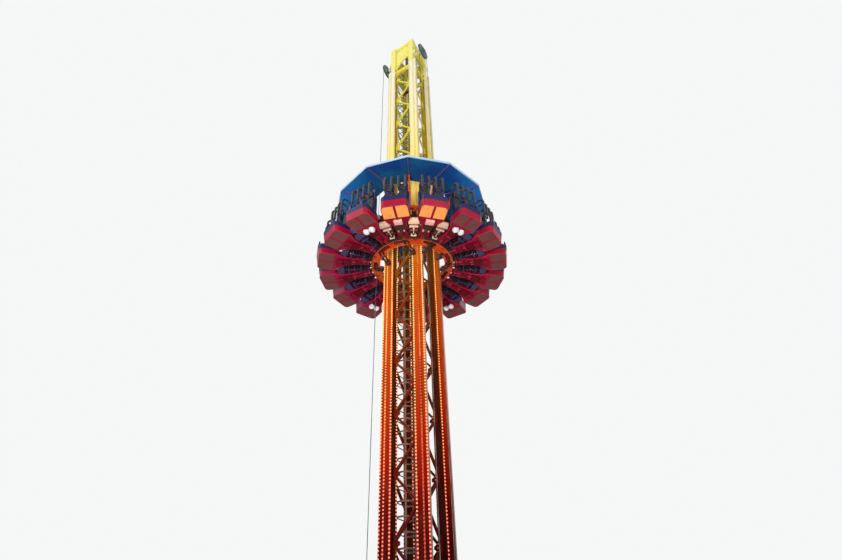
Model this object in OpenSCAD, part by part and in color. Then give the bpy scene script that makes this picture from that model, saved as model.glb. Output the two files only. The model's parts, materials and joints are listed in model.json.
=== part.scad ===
// Drop tower ride: a square lattice tower, a ring gondola for 32 riders that
// slides on four guide rails, and two endless hoist ropes over head sheaves.
// Millimetres, +Z up, origin at the middle of the base plate's underside.

/* [Tower] */
// Outside width of the tower over its corner posts
tower_w = 1100; // [900:10:1600]
// Width of each square corner post
post_w = 225; // [150:5:300]
// Height of the whole tower above the foundation
tower_h = 23850; // [15000:50:39000]
// How far each guide rail stands out from its post
rail_out = 115; // [80:5:160]
// Thickness of each guide rail
rail_t = 60; // [40:2:80]
// Height of one full zigzag of the lattice
lattice_pitch = 1450; // [900:10:2000]
// Width of each lattice bar
bar_w = 54; // [40:2:120]

/* [Base] */
// Side of the square base plate
base_w = 2160; // [1500:10:2600]
// Thickness of the base plate
base_t = 40; // [20:5:80]
// Diameter of each anchor hole
anchor_d = 36; // [20:1:50]
// Distance between the outer rows of anchor holes
anchor_outer = 2000; // [1400:10:2400]
// Distance between the inner rows of anchor holes
anchor_inner = 1000; // [600:10:1300]

/* [Ladder] */
// Distance between the rungs
rung_pitch = 321; // [250:1:400]
// Clear width between the ladder's side rails
ladder_w = 380; // [300:10:500]
// Radius of the safety hoops
hoop_r = 250; // [220:5:300]

/* [Head] */
// Rope radius where it runs on a sheave
sheave_r = 300; // [200:5:400]
// Distance of each sheave from the tower's middle plane
sheave_x = 890; // [860:10:940]
// Height of the head sheaves' axles
sheave_z = 22850; // [15000:50:38000]
// Height of the foot sheaves' axles
foot_sheave_z = 600; // [450:10:900]
// Hoist rope diameter
rope_d = 18; // [12:1:30]

/* [Gondola] */
// Number of seat units, each with two seats
units = 16; // [8:1:20]
// Height of the seat pans above the foundation
pan_z = 11600; // [1500:50:20000]
// Radius of the middle of the seat pans
pan_r = 2577; // [2000:1:3500]
// Radial depth of a seat pan
pan_d = 420; // [350:5:500]
// Width of a seat pan
pan_w = 315; // [280:5:500]
// Outer radius of the carriage ring
ring_r = 1232; // [1150:1:1500]
// Inner radius of the carriage ring
ring_in = 980; // [960:5:1100]
// Half width of each petal shell where it meets the ring
root_half = 195; // [120:5:230]
// Half width of each petal shell at its waist
waist_half = 130; // [90:5:200]
// Height of the carriage ring's plate above the seat pans
ring_up = 280; // [250:5:400]
// Height of the seat base above the seat pans
seat_up = 340; // [300:5:400]
// Height of the seat back's top above the seat pans
back_up = 1250; // [1000:10:1400]
// Radius of each guide roller
roller_r = 70; // [50:1:80]

/* [Canopy] */
// Number of canopy sides
canopy_sides = 12; // [8:1:24]
// Radius to the canopy's corners
canopy_r = 2457; // [2000:1:3500]
// Height of the canopy's edge above the seat pans
canopy_up = 2350; // [1800:10:3000]
// Rise of the canopy from its edge to its opening
canopy_rise = 330; // [100:10:800]
// Radius of the canopy's opening for the tower
canopy_in = 1240; // [1200:5:1500]

/* [Hidden] */

steel = [0.85, 0.66, 0.12];
galv = [0.45, 0.5, 0.48];
dark = [0.15, 0.15, 0.17];
red = [0.55, 0.06, 0.08];
orange = [0.85, 0.3, 0.05];
blue = [0.05, 0.15, 0.45];

half = tower_w / 2;
post_in = half - post_w;
post_c = half - post_w / 2;
rail_x = half + rail_out;
rail_y = half - 18 - rail_t / 2;
lattice_z = 480;
lattice_halves = 29;
lattice_top = lattice_z + lattice_halves * lattice_pitch / 2;
rail_top = sheave_z - 620;
beam_h = 180;
head_low_z = lattice_top + 400;
head_top_z = tower_h - beam_h;
sheave_y = -sheave_r;
unit_step = 360 / units;
unit_half = pan_w + 45;
tub_in = pan_r - pan_d / 2 - 17;
tub_len = pan_d + 30;
tub_lean = 1.138;
waist_at = 0.44;
petal_rise = 11.5;
petal_steps = 16;
corner_r = 110;
pan_edge = 14;
strip_half = 33;
ring_z = pan_z + ring_up;
plate_t = 16;
rim_down = 30;
rim_up = 50;
slots = [60, 15, -30, -75];
uprights = [90, 37.5, -7.5, -52.5, -90, -127.5, 187.5, 142.5];
seam = 0.5;
upper_z = pan_z + 1500;
upper_h = 100;
upper_in = ring_r - 112;
canopy_z = pan_z + canopy_up;
canopy_edge = canopy_r - 10;
side_step = 360 / canopy_sides;
ladder_x = -385;
ladder_y = -60;
ladder_top = 22750;
rungs = floor((ladder_top - 600) / rung_pitch);
hoop_first = 7;
hoop_last = 61;
hoop_back = 126;

// Shared shapes
module box(x0, x1, y0, y1, z0, z1) {
    translate([x0, y0, z0])
        cube([x1 - x0, y1 - y0, z1 - z0]);
}

module at_corners() {
    for (sx = [-1, 1], sy = [-1, 1])
        scale([sx, sy, 1])
            children();
}

module at_units() {
    for (k = [0 : units - 1])
        rotate(k * unit_step)
            children();
}

module at_seats() {
    at_units()
        for (side = [-1, 1])
            translate([0, side * (pan_w / 2 + 35), 0])
                children();
}

// Extrudes an outline drawn as radius and height, so that it is centred on the
// radial plane and wide from side to side
module upright(wide) {
    rotate([90, 0, 0])
        linear_extrude(wide, center = true)
            children();
}

module ring(r_out, r_in, z, h, sides = 96) {
    translate([0, 0, z])
        linear_extrude(h)
            difference() {
                circle(r = r_out, $fn = sides);
                circle(r = r_in, $fn = sides);
            }
}

// Base
module base_plate() {
    color(steel)
        difference() {
            box(-base_w / 2, base_w / 2, -base_w / 2, base_w / 2, 0, base_t);
            for (sx = [-1, 1], sy = [-1, 1]) {
                translate([sx * anchor_outer / 2, sy * anchor_outer / 2, -1])
                    cylinder(d = anchor_d, h = base_t + 2, $fn = 24);
                translate([sx * anchor_inner / 2, sy * anchor_outer / 2, -1])
                    cylinder(d = anchor_d, h = base_t + 2, $fn = 24);
                translate([sx * anchor_outer / 2, sy * anchor_inner / 2, -1])
                    cylinder(d = anchor_d, h = base_t + 2, $fn = 24);
            }
        }
}

module stiffener(len, h) {
    rotate([90, 0, 0])
        linear_extrude(20, center = true)
            polygon([[0, 0], [len, 0], [len, 60], [60, h], [0, h]]);
}

module base_stiffeners() {
    color(steel)
        at_corners() {
            for (y = [post_c - 90, post_c - 20])
                translate([half, y, base_t])
                    stiffener(200, 380);
            for (x = [post_c - 55, post_c + 55])
                translate([x, half, base_t])
                    rotate(90)
                        stiffener(260, 380);
        }
}

// Tower
module post() {
    translate([post_c, post_c, base_t])
        linear_extrude(tower_h - base_t)
            offset(r = 18, $fn = 16)
                square(post_w - 36, center = true);
}

module post_front_left() {
    color(steel)
        scale([-1, -1, 1])
            post();
}

module post_front_right() {
    color(steel)
        scale([1, -1, 1])
            post();
}

module post_rear_left() {
    color(steel)
        scale([-1, 1, 1])
            post();
}

module post_rear_right() {
    color(steel)
        post();
}

module guide_rails(side) {
    color(steel)
        for (sy = [-1, 1])
            scale([side, sy, 1])
                box(half, rail_x, half - 18 - rail_t, half - 18, base_t + 430, rail_top);
}

module guide_rails_left() {
    guide_rails(-1);
}

module guide_rails_right() {
    guide_rails(1);
}

// One flat side of the lattice, drawn in its own plane: a zigzag of bars with
// curved gussets where the bars meet the posts.
module zigzag() {
    for (k = [0 : lattice_halves - 1]) {
        side = k % 2 == 0 ? 1 : -1;
        z0 = lattice_z + k * lattice_pitch / 2;
        bar2d([side * post_in, z0], [-side * post_in, z0 + lattice_pitch / 2]);
    }
}

module bar2d(a, b) {
    len = norm(b - a);
    turn = atan2(b[1] - a[1], b[0] - a[0]);
    translate(a)
        rotate(turn)
            translate([-100, -bar_w / 2])
                square([len + 200, bar_w]);
}

// A gusset that flares with two quarter-round cut-outs towards its post
module gusset2d(z, side) {
    scale([side, 1])
        difference() {
            translate([post_in - 170, z - 250])
                square([170, 500]);
            for (end = [-1, 1])
                translate([post_in - 250, z + end * 250])
                    circle(r = 230, $fn = 40);
        }
}

module lattice_side() {
    rotate([90, 0, 0]) {
        linear_extrude(bar_w, center = true)
            intersection() {
                zigzag();
                translate([-post_in, lattice_z - 60])
                    square([2 * post_in, lattice_top - lattice_z + 120]);
            }
        linear_extrude(12, center = true)
            intersection() {
                for (k = [0 : lattice_halves])
                    gusset2d(lattice_z + k * lattice_pitch / 2, k % 2 == 0 ? 1 : -1);
                translate([-post_in, lattice_z - 300])
                    square([2 * post_in, lattice_top - lattice_z + 600]);
            }
    }
}

module lattice_front() {
    color(steel)
        translate([0, -post_c, 0])
            lattice_side();
}

module lattice_rear() {
    color(steel)
        rotate(180)
            translate([0, -post_c, 0])
                lattice_side();
}

module lattice_right() {
    color(steel)
        translate([post_c, 0, 0])
            rotate(90)
                scale([-1, 1, 1])
                    lattice_side();
}

module lattice_left() {
    color(steel)
        rotate(180)
            translate([post_c, 0, 0])
                rotate(90)
                    scale([-1, 1, 1])
                        lattice_side();
}

// Ladder
module ladder() {
    stile = ladder_w / 2;
    color(galv) {
        for (side = [-1, 1])
            translate([ladder_x, ladder_y + side * (stile + 7), 400])
                translate([-20, -7, 0])
                    cube([40, 14, ladder_top - 400]);
        for (k = [0 : rungs])
            translate([ladder_x, ladder_y, 500 + k * rung_pitch])
                rotate([90, 0, 0])
                    cylinder(r = 13, h = ladder_w + 4, center = true, $fn = 6);
        for (k = [0 : floor(lattice_halves / 2)]) {
            z = lattice_z + 700 + k * lattice_pitch;
            box(ladder_x - 10, ladder_x + 10, -post_in, ladder_y - stile - 12, z, z + 12);
            box(ladder_x - 10, ladder_x + 10, ladder_y + stile + 12, post_in, z, z + 12);
        }
    }
}

module hoop() {
    linear_extrude(40)
        difference() {
            rotate(15)
                circle(r = hoop_r, $fn = 12);
            rotate(15)
                circle(r = hoop_r - 8, $fn = 12);
            translate([-hoop_back - hoop_r, -hoop_r])
                square([hoop_r, 2 * hoop_r]);
        }
}

module ladder_cage() {
    flat = hoop_r * cos(15);
    color(galv)
        translate([ladder_x + 21 + hoop_back, ladder_y, 0]) {
            for (k = [hoop_first : hoop_last])
                translate([0, 0, 480 + k * rung_pitch])
                    hoop();
            for (a = [-60, 60])
                rotate(a)
                    box(flat - 14, flat - 4, -20, 20, 430 + hoop_first * rung_pitch,
                        570 + hoop_last * rung_pitch);
        }
}

// Head
module beam_ring(z, h) {
    for (s = [-1, 1]) {
        box(-post_in, post_in, s * (half - 80) - 50, s * (half - 80) + 50, z, z + h);
        box(s * (half - 80) - 50, s * (half - 80) + 50, -post_in, post_in, z, z + h);
    }
}

module head_beams_lower() {
    color(steel)
        beam_ring(head_low_z, beam_h);
}

module head_beams_upper() {
    color(steel)
        beam_ring(head_top_z, beam_h);
}

// The deep plate that closes the upper part of one side of the head, with a
// round arch below it and a lightening hole
module head_plate() {
    low = head_low_z + beam_h;
    rotate([90, 0, 0])
        linear_extrude(14, center = true)
            difference() {
                translate([-post_in, low + 60])
                    square([2 * post_in, head_top_z - low - 60]);
                translate([post_in + 150, low - 40])
                    circle(r = 800, $fn = 96);
                translate([-post_in + 130, head_top_z - 140])
                    circle(r = 70, $fn = 32);
            }
}

// A corner gusset under the lower beam, with a quarter-round free edge
module arch_gusset(side) {
    rotate([90, 0, 0])
        linear_extrude(14, center = true)
            scale([side, 1])
                difference() {
                    translate([post_in - 200, head_low_z - 200])
                        square([200, 200]);
                    translate([post_in - 220, head_low_z - 220])
                        circle(r = 190, $fn = 40);
                }
}

module head_bracing() {
    color(steel)
        for (a = [0, 90, 180, 270])
            rotate(a)
                translate([0, -half + 80, 0]) {
                    head_plate();
                    for (side = [-1, 1])
                        arch_gusset(side);
                }
}

// A beam across the outer faces of two posts and the bearing that carries the
// overhung sheave
module sheave_brackets(side) {
    color(steel)
        scale([side, 1, 1])
            difference() {
                union() {
                    box(half, half + 80, -half + 18, half - 18, sheave_z - 80, sheave_z + 80);
                    translate([half + 80, sheave_y, sheave_z])
                        rotate([0, 90, 0])
                            cylinder(r = 85, h = sheave_x - half - 80 - 92, $fn = 48);
                    for (z = [-80, 66])
                        translate([half + 80, sheave_y, sheave_z + z])
                            linear_extrude(14)
                                polygon([[0, -190], [0, 190], [110, 70], [110, -70]]);
                }
                translate([0, sheave_y, sheave_z])
                    rotate([0, 90, 0])
                        cylinder(r = 31, h = 2000, $fn = 32);
            }
}

module sheave_brackets_left() {
    sheave_brackets(-1);
}

module sheave_brackets_right() {
    sheave_brackets(1);
}

// A rope sheave with its hub, web with round holes, and grooved rim
module sheave(z, axle_in) {
    translate([sheave_x, sheave_y, z])
        rotate([0, 90, 0]) {
            translate([0, 0, -axle_in])
                cylinder(r = 30, h = axle_in + 95, $fn = 32);
            difference() {
                rotate_extrude($fn = 64)
                    polygon([
                        [28, -85], [64, -85], [64, -12], [sheave_r - 52, -12], [sheave_r - 34, -30],
                        [sheave_r + 33, -32], [sheave_r + 33, -23], [sheave_r - 10, -11],
                        [sheave_r - 10, 11], [sheave_r + 33, 23], [sheave_r + 33, 32],
                        [sheave_r - 34, 30], [sheave_r - 52, 12], [64, 12], [64, 85], [28, 85]]);
                for (k = [0 : 5])
                    rotate(k * 60)
                        translate([156, 0, -20])
                            cylinder(r = 52, h = 40, $fn = 32);
            }
        }
}

module head_sheave_left() {
    color(galv)
        scale([-1, 1, 1])
            sheave(sheave_z, sheave_x - half - 10);
}

module head_sheave_right() {
    color(galv)
        sheave(sheave_z, sheave_x - half - 10);
}

module foot_sheave() {
    sheave(foot_sheave_z, 110);
    for (x = [sheave_x - 110, sheave_x + 90])
        difference() {
            translate([x, sheave_y, base_t])
                rotate([90, 0, 90])
                    linear_extrude(20)
                        polygon([
                            [-190, 0], [190, 0], [190, 60], [90, foot_sheave_z - 40],
                            [70, foot_sheave_z + 50], [-70, foot_sheave_z + 50],
                            [-90, foot_sheave_z - 40], [-190, 60]]);
            translate([0, sheave_y, foot_sheave_z])
                rotate([0, 90, 0])
                    cylinder(r = 29, h = 2000, $fn = 32);
        }
}

module foot_sheave_left() {
    color(galv)
        scale([-1, 1, 1])
            foot_sheave();
}

module foot_sheave_right() {
    color(galv)
        foot_sheave();
}

// One endless rope: two straight runs and a half turn round each sheave
module hoist_rope(side) {
    color(dark)
        scale([side, 1, 1])
            translate([sheave_x, sheave_y, 0]) {
                for (run = [-1, 1])
                    translate([0, run * sheave_r, foot_sheave_z])
                        cylinder(d = rope_d, h = sheave_z - foot_sheave_z, $fn = 12);
                translate([0, 0, sheave_z])
                    rotate([0, -90, 0])
                        rotate([0, 0, -90])
                            rotate_extrude(angle = 180, $fn = 48)
                                translate([sheave_r, 0])
                                    circle(d = rope_d, $fn = 12);
                translate([0, 0, foot_sheave_z])
                    rotate([0, 90, 0])
                        rotate([0, 0, -90])
                            rotate_extrude(angle = 180, $fn = 48)
                                translate([sheave_r, 0])
                                    circle(d = rope_d, $fn = 12);
            }
}

module hoist_rope_left() {
    hoist_rope(-1);
}

module hoist_rope_right() {
    hoist_rope(1);
}

// Gondola carriage
function cap(a, from) = [
    for (k = [0 : 8])
        let (mid = (ring_r + ring_in) / 2, turn = from + k * 22.5)
        [mid * cos(a) + 75 * cos(turn), mid * sin(a) + 75 * sin(turn)]];

function arc(r, a0, a1) = [
    for (k = [1 : 5])
        let (a = a0 + k * (a1 - a0) / 6)
        [r * cos(a), r * sin(a)]];

// A curved opening with round ends that follows the ring
module ring_slot(a) {
    mid = (ring_r + ring_in) / 2;
    polygon(concat(
        cap(a + 8, a + 8),
        arc(mid - 75, a + 8, a - 8),
        cap(a - 8, a + 172),
        arc(mid + 75, a - 8, a + 8)));
}

module carriage_ring() {
    color(orange)
        translate([0, 0, ring_z]) {
            linear_extrude(plate_t)
                difference() {
                    circle(r = ring_r, $fn = 96);
                    circle(r = ring_in, $fn = 96);
                    for (side = [-1, 1], a = slots)
                        scale([side, 1])
                            ring_slot(a);
                }
            ring(ring_r, ring_r - 16, -rim_down, rim_down + rim_up);
            ring(ring_in + 16, ring_in, -rim_down, rim_down + rim_up);
        }
}

module upper_ring() {
    color(orange)
        ring(ring_r, upper_in, upper_z, upper_h);
}

module carriage_posts() {
    color(orange)
        for (a = uprights)
            rotate(a)
                difference() {
                    box(ring_r - 102, ring_r - 22, -40, 40, ring_z + plate_t + seam, upper_z - seam);
                    box(ring_r - 92, ring_r - 21, -30, 30, ring_z + plate_t + 60, upper_z - 60);
                }
}

// One side plate of a roller fork, from the axle out to its seat on the ring
module fork_plate(axle, seat_in, seat_out, drop) {
    upright(12)
        polygon([
            [axle - 36, -drop - 45], [axle - 36, -drop + 45], [seat_in, -75], [seat_in, 0],
            [seat_out, 0], [seat_out, -60], [axle + 55, -drop - 45]]);
}

module fork(axle, seat_in, seat_out, drop) {
    for (side = [-1, 1])
        translate([0, side * 51, 0])
            fork_plate(axle, seat_in, seat_out, drop);
}

module at_rollers() {
    for (sx = [-1, 1], sy = [-1, 1])
        scale([sx, sy, 1]) {
            translate([0, rail_y, 0])
                children(0);
            translate([post_c, 0, 0])
                rotate(90)
                    children(1);
        }
}

module roller_bogies() {
    on_rail = rail_x + 5 + roller_r;
    on_post = half + 5 + roller_r;
    color(dark) {
        translate([0, 0, ring_z])
            at_rollers() {
                fork(on_rail, 900, 1060, 150);
                fork(on_post, 930, 1080, 150);
            }
        translate([0, 0, upper_z])
            at_rollers() {
                fork(on_rail, 1035, 1095, 150);
                fork(on_post, 1062, 1118, 150);
            }
    }
}

module roller(axle) {
    translate([axle, 0, -150])
        rotate([90, 0, 0]) {
            cylinder(r = roller_r, h = 78, center = true, $fn = 40);
            cylinder(r = 18, h = 90, center = true, $fn = 20);
        }
}

module guide_rollers() {
    color(dark)
        for (z = [ring_z, upper_z])
            translate([0, 0, z])
                at_rollers() {
                    roller(rail_x + 5 + roller_r);
                    roller(half + 5 + roller_r);
                }
}

// The clamp that holds the hoisting run of each rope, under the ring
module rope_clamps() {
    color(dark)
        for (side = [-1, 1])
            scale([side, 1, 1])
                difference() {
                    union() {
                        box(sheave_x - 45, ring_in + 10, -45, 45, ring_z - 190, ring_z - rim_down);
                        box(ring_in + 10, ring_in + 90, -30, 30, ring_z - 90, ring_z - rim_down);
                    }
                    translate([sheave_x, 0, 0])
                        cylinder(d = rope_d + 12, h = 40000, $fn = 24);
                }
}

// Seats
module seat_arms() {
    color(red)
        at_units() {
            box(ring_r + 1, tub_in, -40, 40, ring_z - rim_down, ring_z + rim_up);
            translate([0, 0, ring_z - rim_down])
                for (side = [-1, 1])
                    translate([0, side * 44, 0])
                        upright(10)
                            polygon([
                                [tub_in - 260, 0], [tub_in, -150], [tub_in, 70], [tub_in - 260, 70]]);
        }
}

// Half width of a petal at one radius: broad at the ring, waisted between, and
// as wide as the seat tub where it meets it
function petal_half(r) =
    let (t = (r - ring_r) / (tub_in - ring_r))
    t < waist_at
        ? waist_half + (root_half - waist_half) * pow(1 - t / waist_at, 2)
        : waist_half + (unit_half - 3 - waist_half) * pow(min(1, (t - waist_at) / (0.94 - waist_at)), 2);

function petal_side(side, inset) = [
    for (k = [0 : petal_steps])
        let (r = ring_r + 14 + k * (tub_in - ring_r - 14) / petal_steps)
        [r - tub_in, side * (petal_half(r) - inset)]];

module petal2d(inset) {
    near = petal_side(-1, inset);
    far = petal_side(1, inset);
    polygon(concat(near, [for (k = [petal_steps : -1 : 0]) far[k]]));
}

function corner(x, y, r, a0) = [
    for (k = [0 : 5])
        [x + r * cos(a0 + k * 18), y + r * sin(a0 + k * 18)]];

// Plan of the seat tub with its two round outer corners
module tub2d(inset) {
    far = tub_len - inset;
    w = unit_half - inset;
    r = corner_r - inset;
    polygon(concat(
        [[inset, w], [inset, -w]],
        corner(far - r, -w + r, r, -90),
        corner(far - r, w - r, r, 0)));
}

// Plan of the pan under one seat, which fills its half of the tub up to an edge
module pan2d(side, edge) {
    intersection() {
        tub2d(edge);
        scale([1, side])
            translate([edge, strip_half + edge - pan_edge])
                square([tub_len, unit_half]);
    }
}

module seat_tub() {
    difference() {
        linear_extrude(seat_up, scale = [tub_lean, 1], slices = 1)
            tub2d(0);
        translate([0, 0, 24])
            linear_extrude(seat_up - 38, scale = [tub_lean, 1], slices = 1)
                tub2d(14);
        for (side = [-1, 1])
            translate([0, 0, -1])
                linear_extrude(31)
                    pan2d(side, pan_edge - 1);
    }
}

// The open trough between the ring and the tub: a floor and two waisted sides
module petal() {
    linear_extrude(14)
        petal2d(0);
    linear_extrude(180)
        difference() {
            petal2d(0);
            petal2d(14);
        }
}

// Each trough rises from its tub towards the ring, so that the ring shows below
module petal_shells() {
    color(red)
        at_units()
            translate([tub_in, 0, pan_z]) {
                translate([4, 0, 3])
                    rotate([0, petal_rise, 0])
                        petal();
                seat_tub();
            }
}

module seat_pans() {
    color(dark)
        at_units()
            translate([tub_in, 0, pan_z - 3])
                for (side = [-1, 1])
                    linear_extrude(23)
                        pan2d(side, pan_edge);
}

module seat_cushions() {
    color(dark)
        at_seats()
            box(tub_in + 92, tub_in + 440, -145, 145, pan_z + seat_up, pan_z + seat_up + 80);
}

// Front outline of one seat back: shoulders, then a narrower head rest
module back_front2d() {
    polygon(concat(
        [[-160, 0], [160, 0], [165, 520]],
        corner(125, 540, 40, 0),
        [[125, 640]],
        corner(75, back_up - seat_up - 50, 50, 0),
        corner(-75, back_up - seat_up - 50, 50, 90),
        [[-125, 640]],
        corner(-125, 540, 40, 90),
        [[-165, 520]]));
}

// Side outline of a seat back, with its curve at the small of the back
module back_side2d() {
    polygon([
        [0, 0], [62, 0], [70, 120], [66, 240], [56, 400], [50, 560], [52, 700], [60, 800],
        [66, back_up - seat_up], [14, back_up - seat_up], [0, 760]]);
}

module seat_back() {
    intersection() {
        upright(400)
            back_side2d();
        rotate([90, 0, 90])
            linear_extrude(120)
                back_front2d();
    }
    for (side = [-1, 1])
        translate([0, side * 155, 0])
            upright(18)
                polygon([[10, 90], [120, 130], [150, 200], [130, 420], [70, 520], [10, 540]]);
}

module seat_backs() {
    color(red)
        at_units()
            translate([tub_in, 0, pan_z + seat_up]) {
                for (side = [-1, 1])
                    translate([0, side * (pan_w / 2 + 35), 0])
                        seat_back();
                box(4, 44, -340, 340, 0, 420);
            }
}

module back_cushions() {
    color(dark)
        at_seats()
            box(tub_in + 72, tub_in + 128, -120, 120, pan_z + seat_up + 100, pan_z + back_up - 60);
}

// The saddle horn that stands up between the rider's legs
module seat_horns() {
    color(red)
        at_seats()
            translate([tub_in + 446, 0, pan_z + seat_up])
                upright(84)
                    polygon([[0, 0], [54, 0], [50, 110], [40, 180], [24, 205], [8, 195], [0, 150]]);
}

// A padded restraint: two tubes over the shoulders, joined by a bend in front
module shoulder_bars() {
    over = 128;
    drop = 470;
    color(dark)
        at_seats()
            translate([tub_in + 40, 0, pan_z + back_up]) {
                for (side = [-1, 1])
                    translate([over, side * 95, 0])
                        rotate([90, 0, 0])
                            rotate_extrude(angle = 180, $fn = 32)
                                translate([over, 0])
                                    circle(r = 19, $fn = 12);
                for (side = [-1, 1])
                    translate([2 * over, side * 95, -drop])
                        cylinder(r = 19, h = drop, $fn = 12);
                translate([2 * over, 0, -drop])
                    rotate([0, 90, 0])
                        rotate([0, 0, -90])
                            rotate_extrude(angle = 180, $fn = 32)
                                translate([95, 0])
                                    circle(r = 19, $fn = 12);
            }
}

// Canopy
function roof_z(r) = canopy_z + canopy_rise * (canopy_edge - r) / (canopy_edge - canopy_in);

module canopy_shell() {
    color(blue)
        translate([0, 0, canopy_z])
            rotate_extrude($fn = canopy_sides)
                polygon([
                    [canopy_edge, 0], [canopy_edge, 30], [canopy_in + 30, canopy_rise + 22],
                    [canopy_in + 30, canopy_rise + 120], [canopy_in, canopy_rise + 120],
                    [canopy_in, canopy_rise]]);
}

module canopy_ribs() {
    color(blue)
        for (k = [0 : canopy_sides - 1])
            rotate(k * side_step)
                upright(28)
                    polygon([
                        [canopy_in + 15, roof_z(canopy_in + 15) - 3],
                        [canopy_edge - 18, roof_z(canopy_edge - 18) - 3],
                        [canopy_edge - 18, roof_z(canopy_edge - 18) - 38],
                        [canopy_in + 15, roof_z(canopy_in + 15) - 48]]);
}

module canopy_rim() {
    color(galv)
        translate([0, 0, canopy_z - 22])
            linear_extrude(72)
                difference() {
                    circle(r = canopy_r + 15, $fn = canopy_sides);
                    circle(r = canopy_r - 9, $fn = canopy_sides);
                }
}

module canopy_struts() {
    color(orange)
        for (k = [0 : canopy_sides - 1])
            rotate(k * side_step)
                upright(44)
                    polygon([
                        [ring_r - 90, upper_z + upper_h + seam],
                        [ring_r - 20, upper_z + upper_h + seam],
                        [1620, roof_z(1620) - 49], [1540, roof_z(1540) - 49]]);
}

base_plate();
base_stiffeners();
post_front_left();
post_front_right();
post_rear_left();
post_rear_right();
guide_rails_left();
guide_rails_right();
lattice_front();
lattice_rear();
lattice_left();
lattice_right();
ladder();
ladder_cage();
head_beams_lower();
head_beams_upper();
head_bracing();
sheave_brackets_left();
sheave_brackets_right();
head_sheave_left();
head_sheave_right();
foot_sheave_left();
foot_sheave_right();
hoist_rope_left();
hoist_rope_right();
carriage_ring();
upper_ring();
carriage_posts();
roller_bogies();
guide_rollers();
rope_clamps();
seat_arms();
petal_shells();
seat_pans();
seat_cushions();
seat_backs();
back_cushions();
seat_horns();
shoulder_bars();
canopy_shell();
canopy_ribs();
canopy_rim();
canopy_struts();
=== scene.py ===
import bpy
import json
import math
from mathutils import Matrix, Vector


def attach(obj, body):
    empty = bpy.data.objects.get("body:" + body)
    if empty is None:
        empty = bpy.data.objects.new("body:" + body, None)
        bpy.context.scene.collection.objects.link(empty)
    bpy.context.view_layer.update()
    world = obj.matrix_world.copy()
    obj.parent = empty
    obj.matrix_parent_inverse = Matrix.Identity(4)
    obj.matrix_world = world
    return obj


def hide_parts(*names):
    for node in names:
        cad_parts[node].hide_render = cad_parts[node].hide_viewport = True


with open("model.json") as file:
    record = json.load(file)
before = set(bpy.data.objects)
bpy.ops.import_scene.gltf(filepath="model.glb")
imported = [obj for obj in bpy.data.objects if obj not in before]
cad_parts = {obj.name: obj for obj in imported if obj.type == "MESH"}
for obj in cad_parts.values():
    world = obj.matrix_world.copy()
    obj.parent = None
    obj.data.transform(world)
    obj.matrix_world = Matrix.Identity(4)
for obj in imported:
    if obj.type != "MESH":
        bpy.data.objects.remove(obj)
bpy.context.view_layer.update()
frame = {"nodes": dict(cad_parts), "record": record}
cadNodes = frame["nodes"]
print("frame loaded,", len(cadNodes), "nodes")

# Camera: on the ground in front of the ladder side, looking steeply up the tower.
view = {
    "distance": 12.5,
    "eyeHeight": 1.6,
    "sideTurn": 32.0,
    "pitch": 37.81,
    "yaw": 1.13,
    "roll": -1.73,
    "focalPixels": 533.4,
    "framePixels": 842,
}


def addCamera():
    turn = math.radians(view["sideTurn"])
    pitch, yaw, roll = (math.radians(view[k]) for k in ("pitch", "yaw", "roll"))
    ahead = Vector((math.sin(yaw) * math.cos(pitch), math.cos(yaw) * math.cos(pitch), math.sin(pitch)))
    right = Vector((math.cos(yaw), -math.sin(yaw), 0))
    up = right.cross(ahead)
    tiltedRight = right * math.cos(roll) + up * math.sin(roll)
    tiltedUp = up * math.cos(roll) - right * math.sin(roll)
    spin = Matrix.Rotation(turn, 3, "Z")
    axes = Matrix([spin @ tiltedRight, spin @ tiltedUp, spin @ -ahead]).transposed()
    place = Vector((math.sin(turn) * view["distance"], -math.cos(turn) * view["distance"], view["eyeHeight"]))
    lens = bpy.data.cameras.new("viewCamera")
    lens.sensor_fit = "HORIZONTAL"
    lens.sensor_width = 36
    lens.lens = 36 * view["focalPixels"] / view["framePixels"]
    lens.clip_end = 200
    camera = bpy.data.objects.new("viewCamera", lens)
    camera.matrix_world = Matrix.Translation(place) @ axes.to_4x4()
    bpy.context.collection.objects.link(camera)
    bpy.context.scene.camera = camera


addCamera()
print("camera set")


# Shader maths: a wire stands for a socket, so that sums on wires add Math nodes.
def sumOf(operation, turnedRound=False):
    def act(wire, other):
        return wire.finish.maths(operation, *((other, wire) if turnedRound else (wire, other)))
    return act


class Wire:
    __add__, __radd__ = sumOf("ADD"), sumOf("ADD", True)
    __sub__, __rsub__ = sumOf("SUBTRACT"), sumOf("SUBTRACT", True)
    __mul__, __rmul__ = sumOf("MULTIPLY"), sumOf("MULTIPLY", True)
    __truediv__, __rtruediv__ = sumOf("DIVIDE"), sumOf("DIVIDE", True)
    __pow__ = sumOf("POWER")
    __gt__, __lt__ = sumOf("GREATER_THAN"), sumOf("LESS_THAN")

    def __init__(self, finish, socket):
        self.finish = finish
        self.socket = socket


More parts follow.
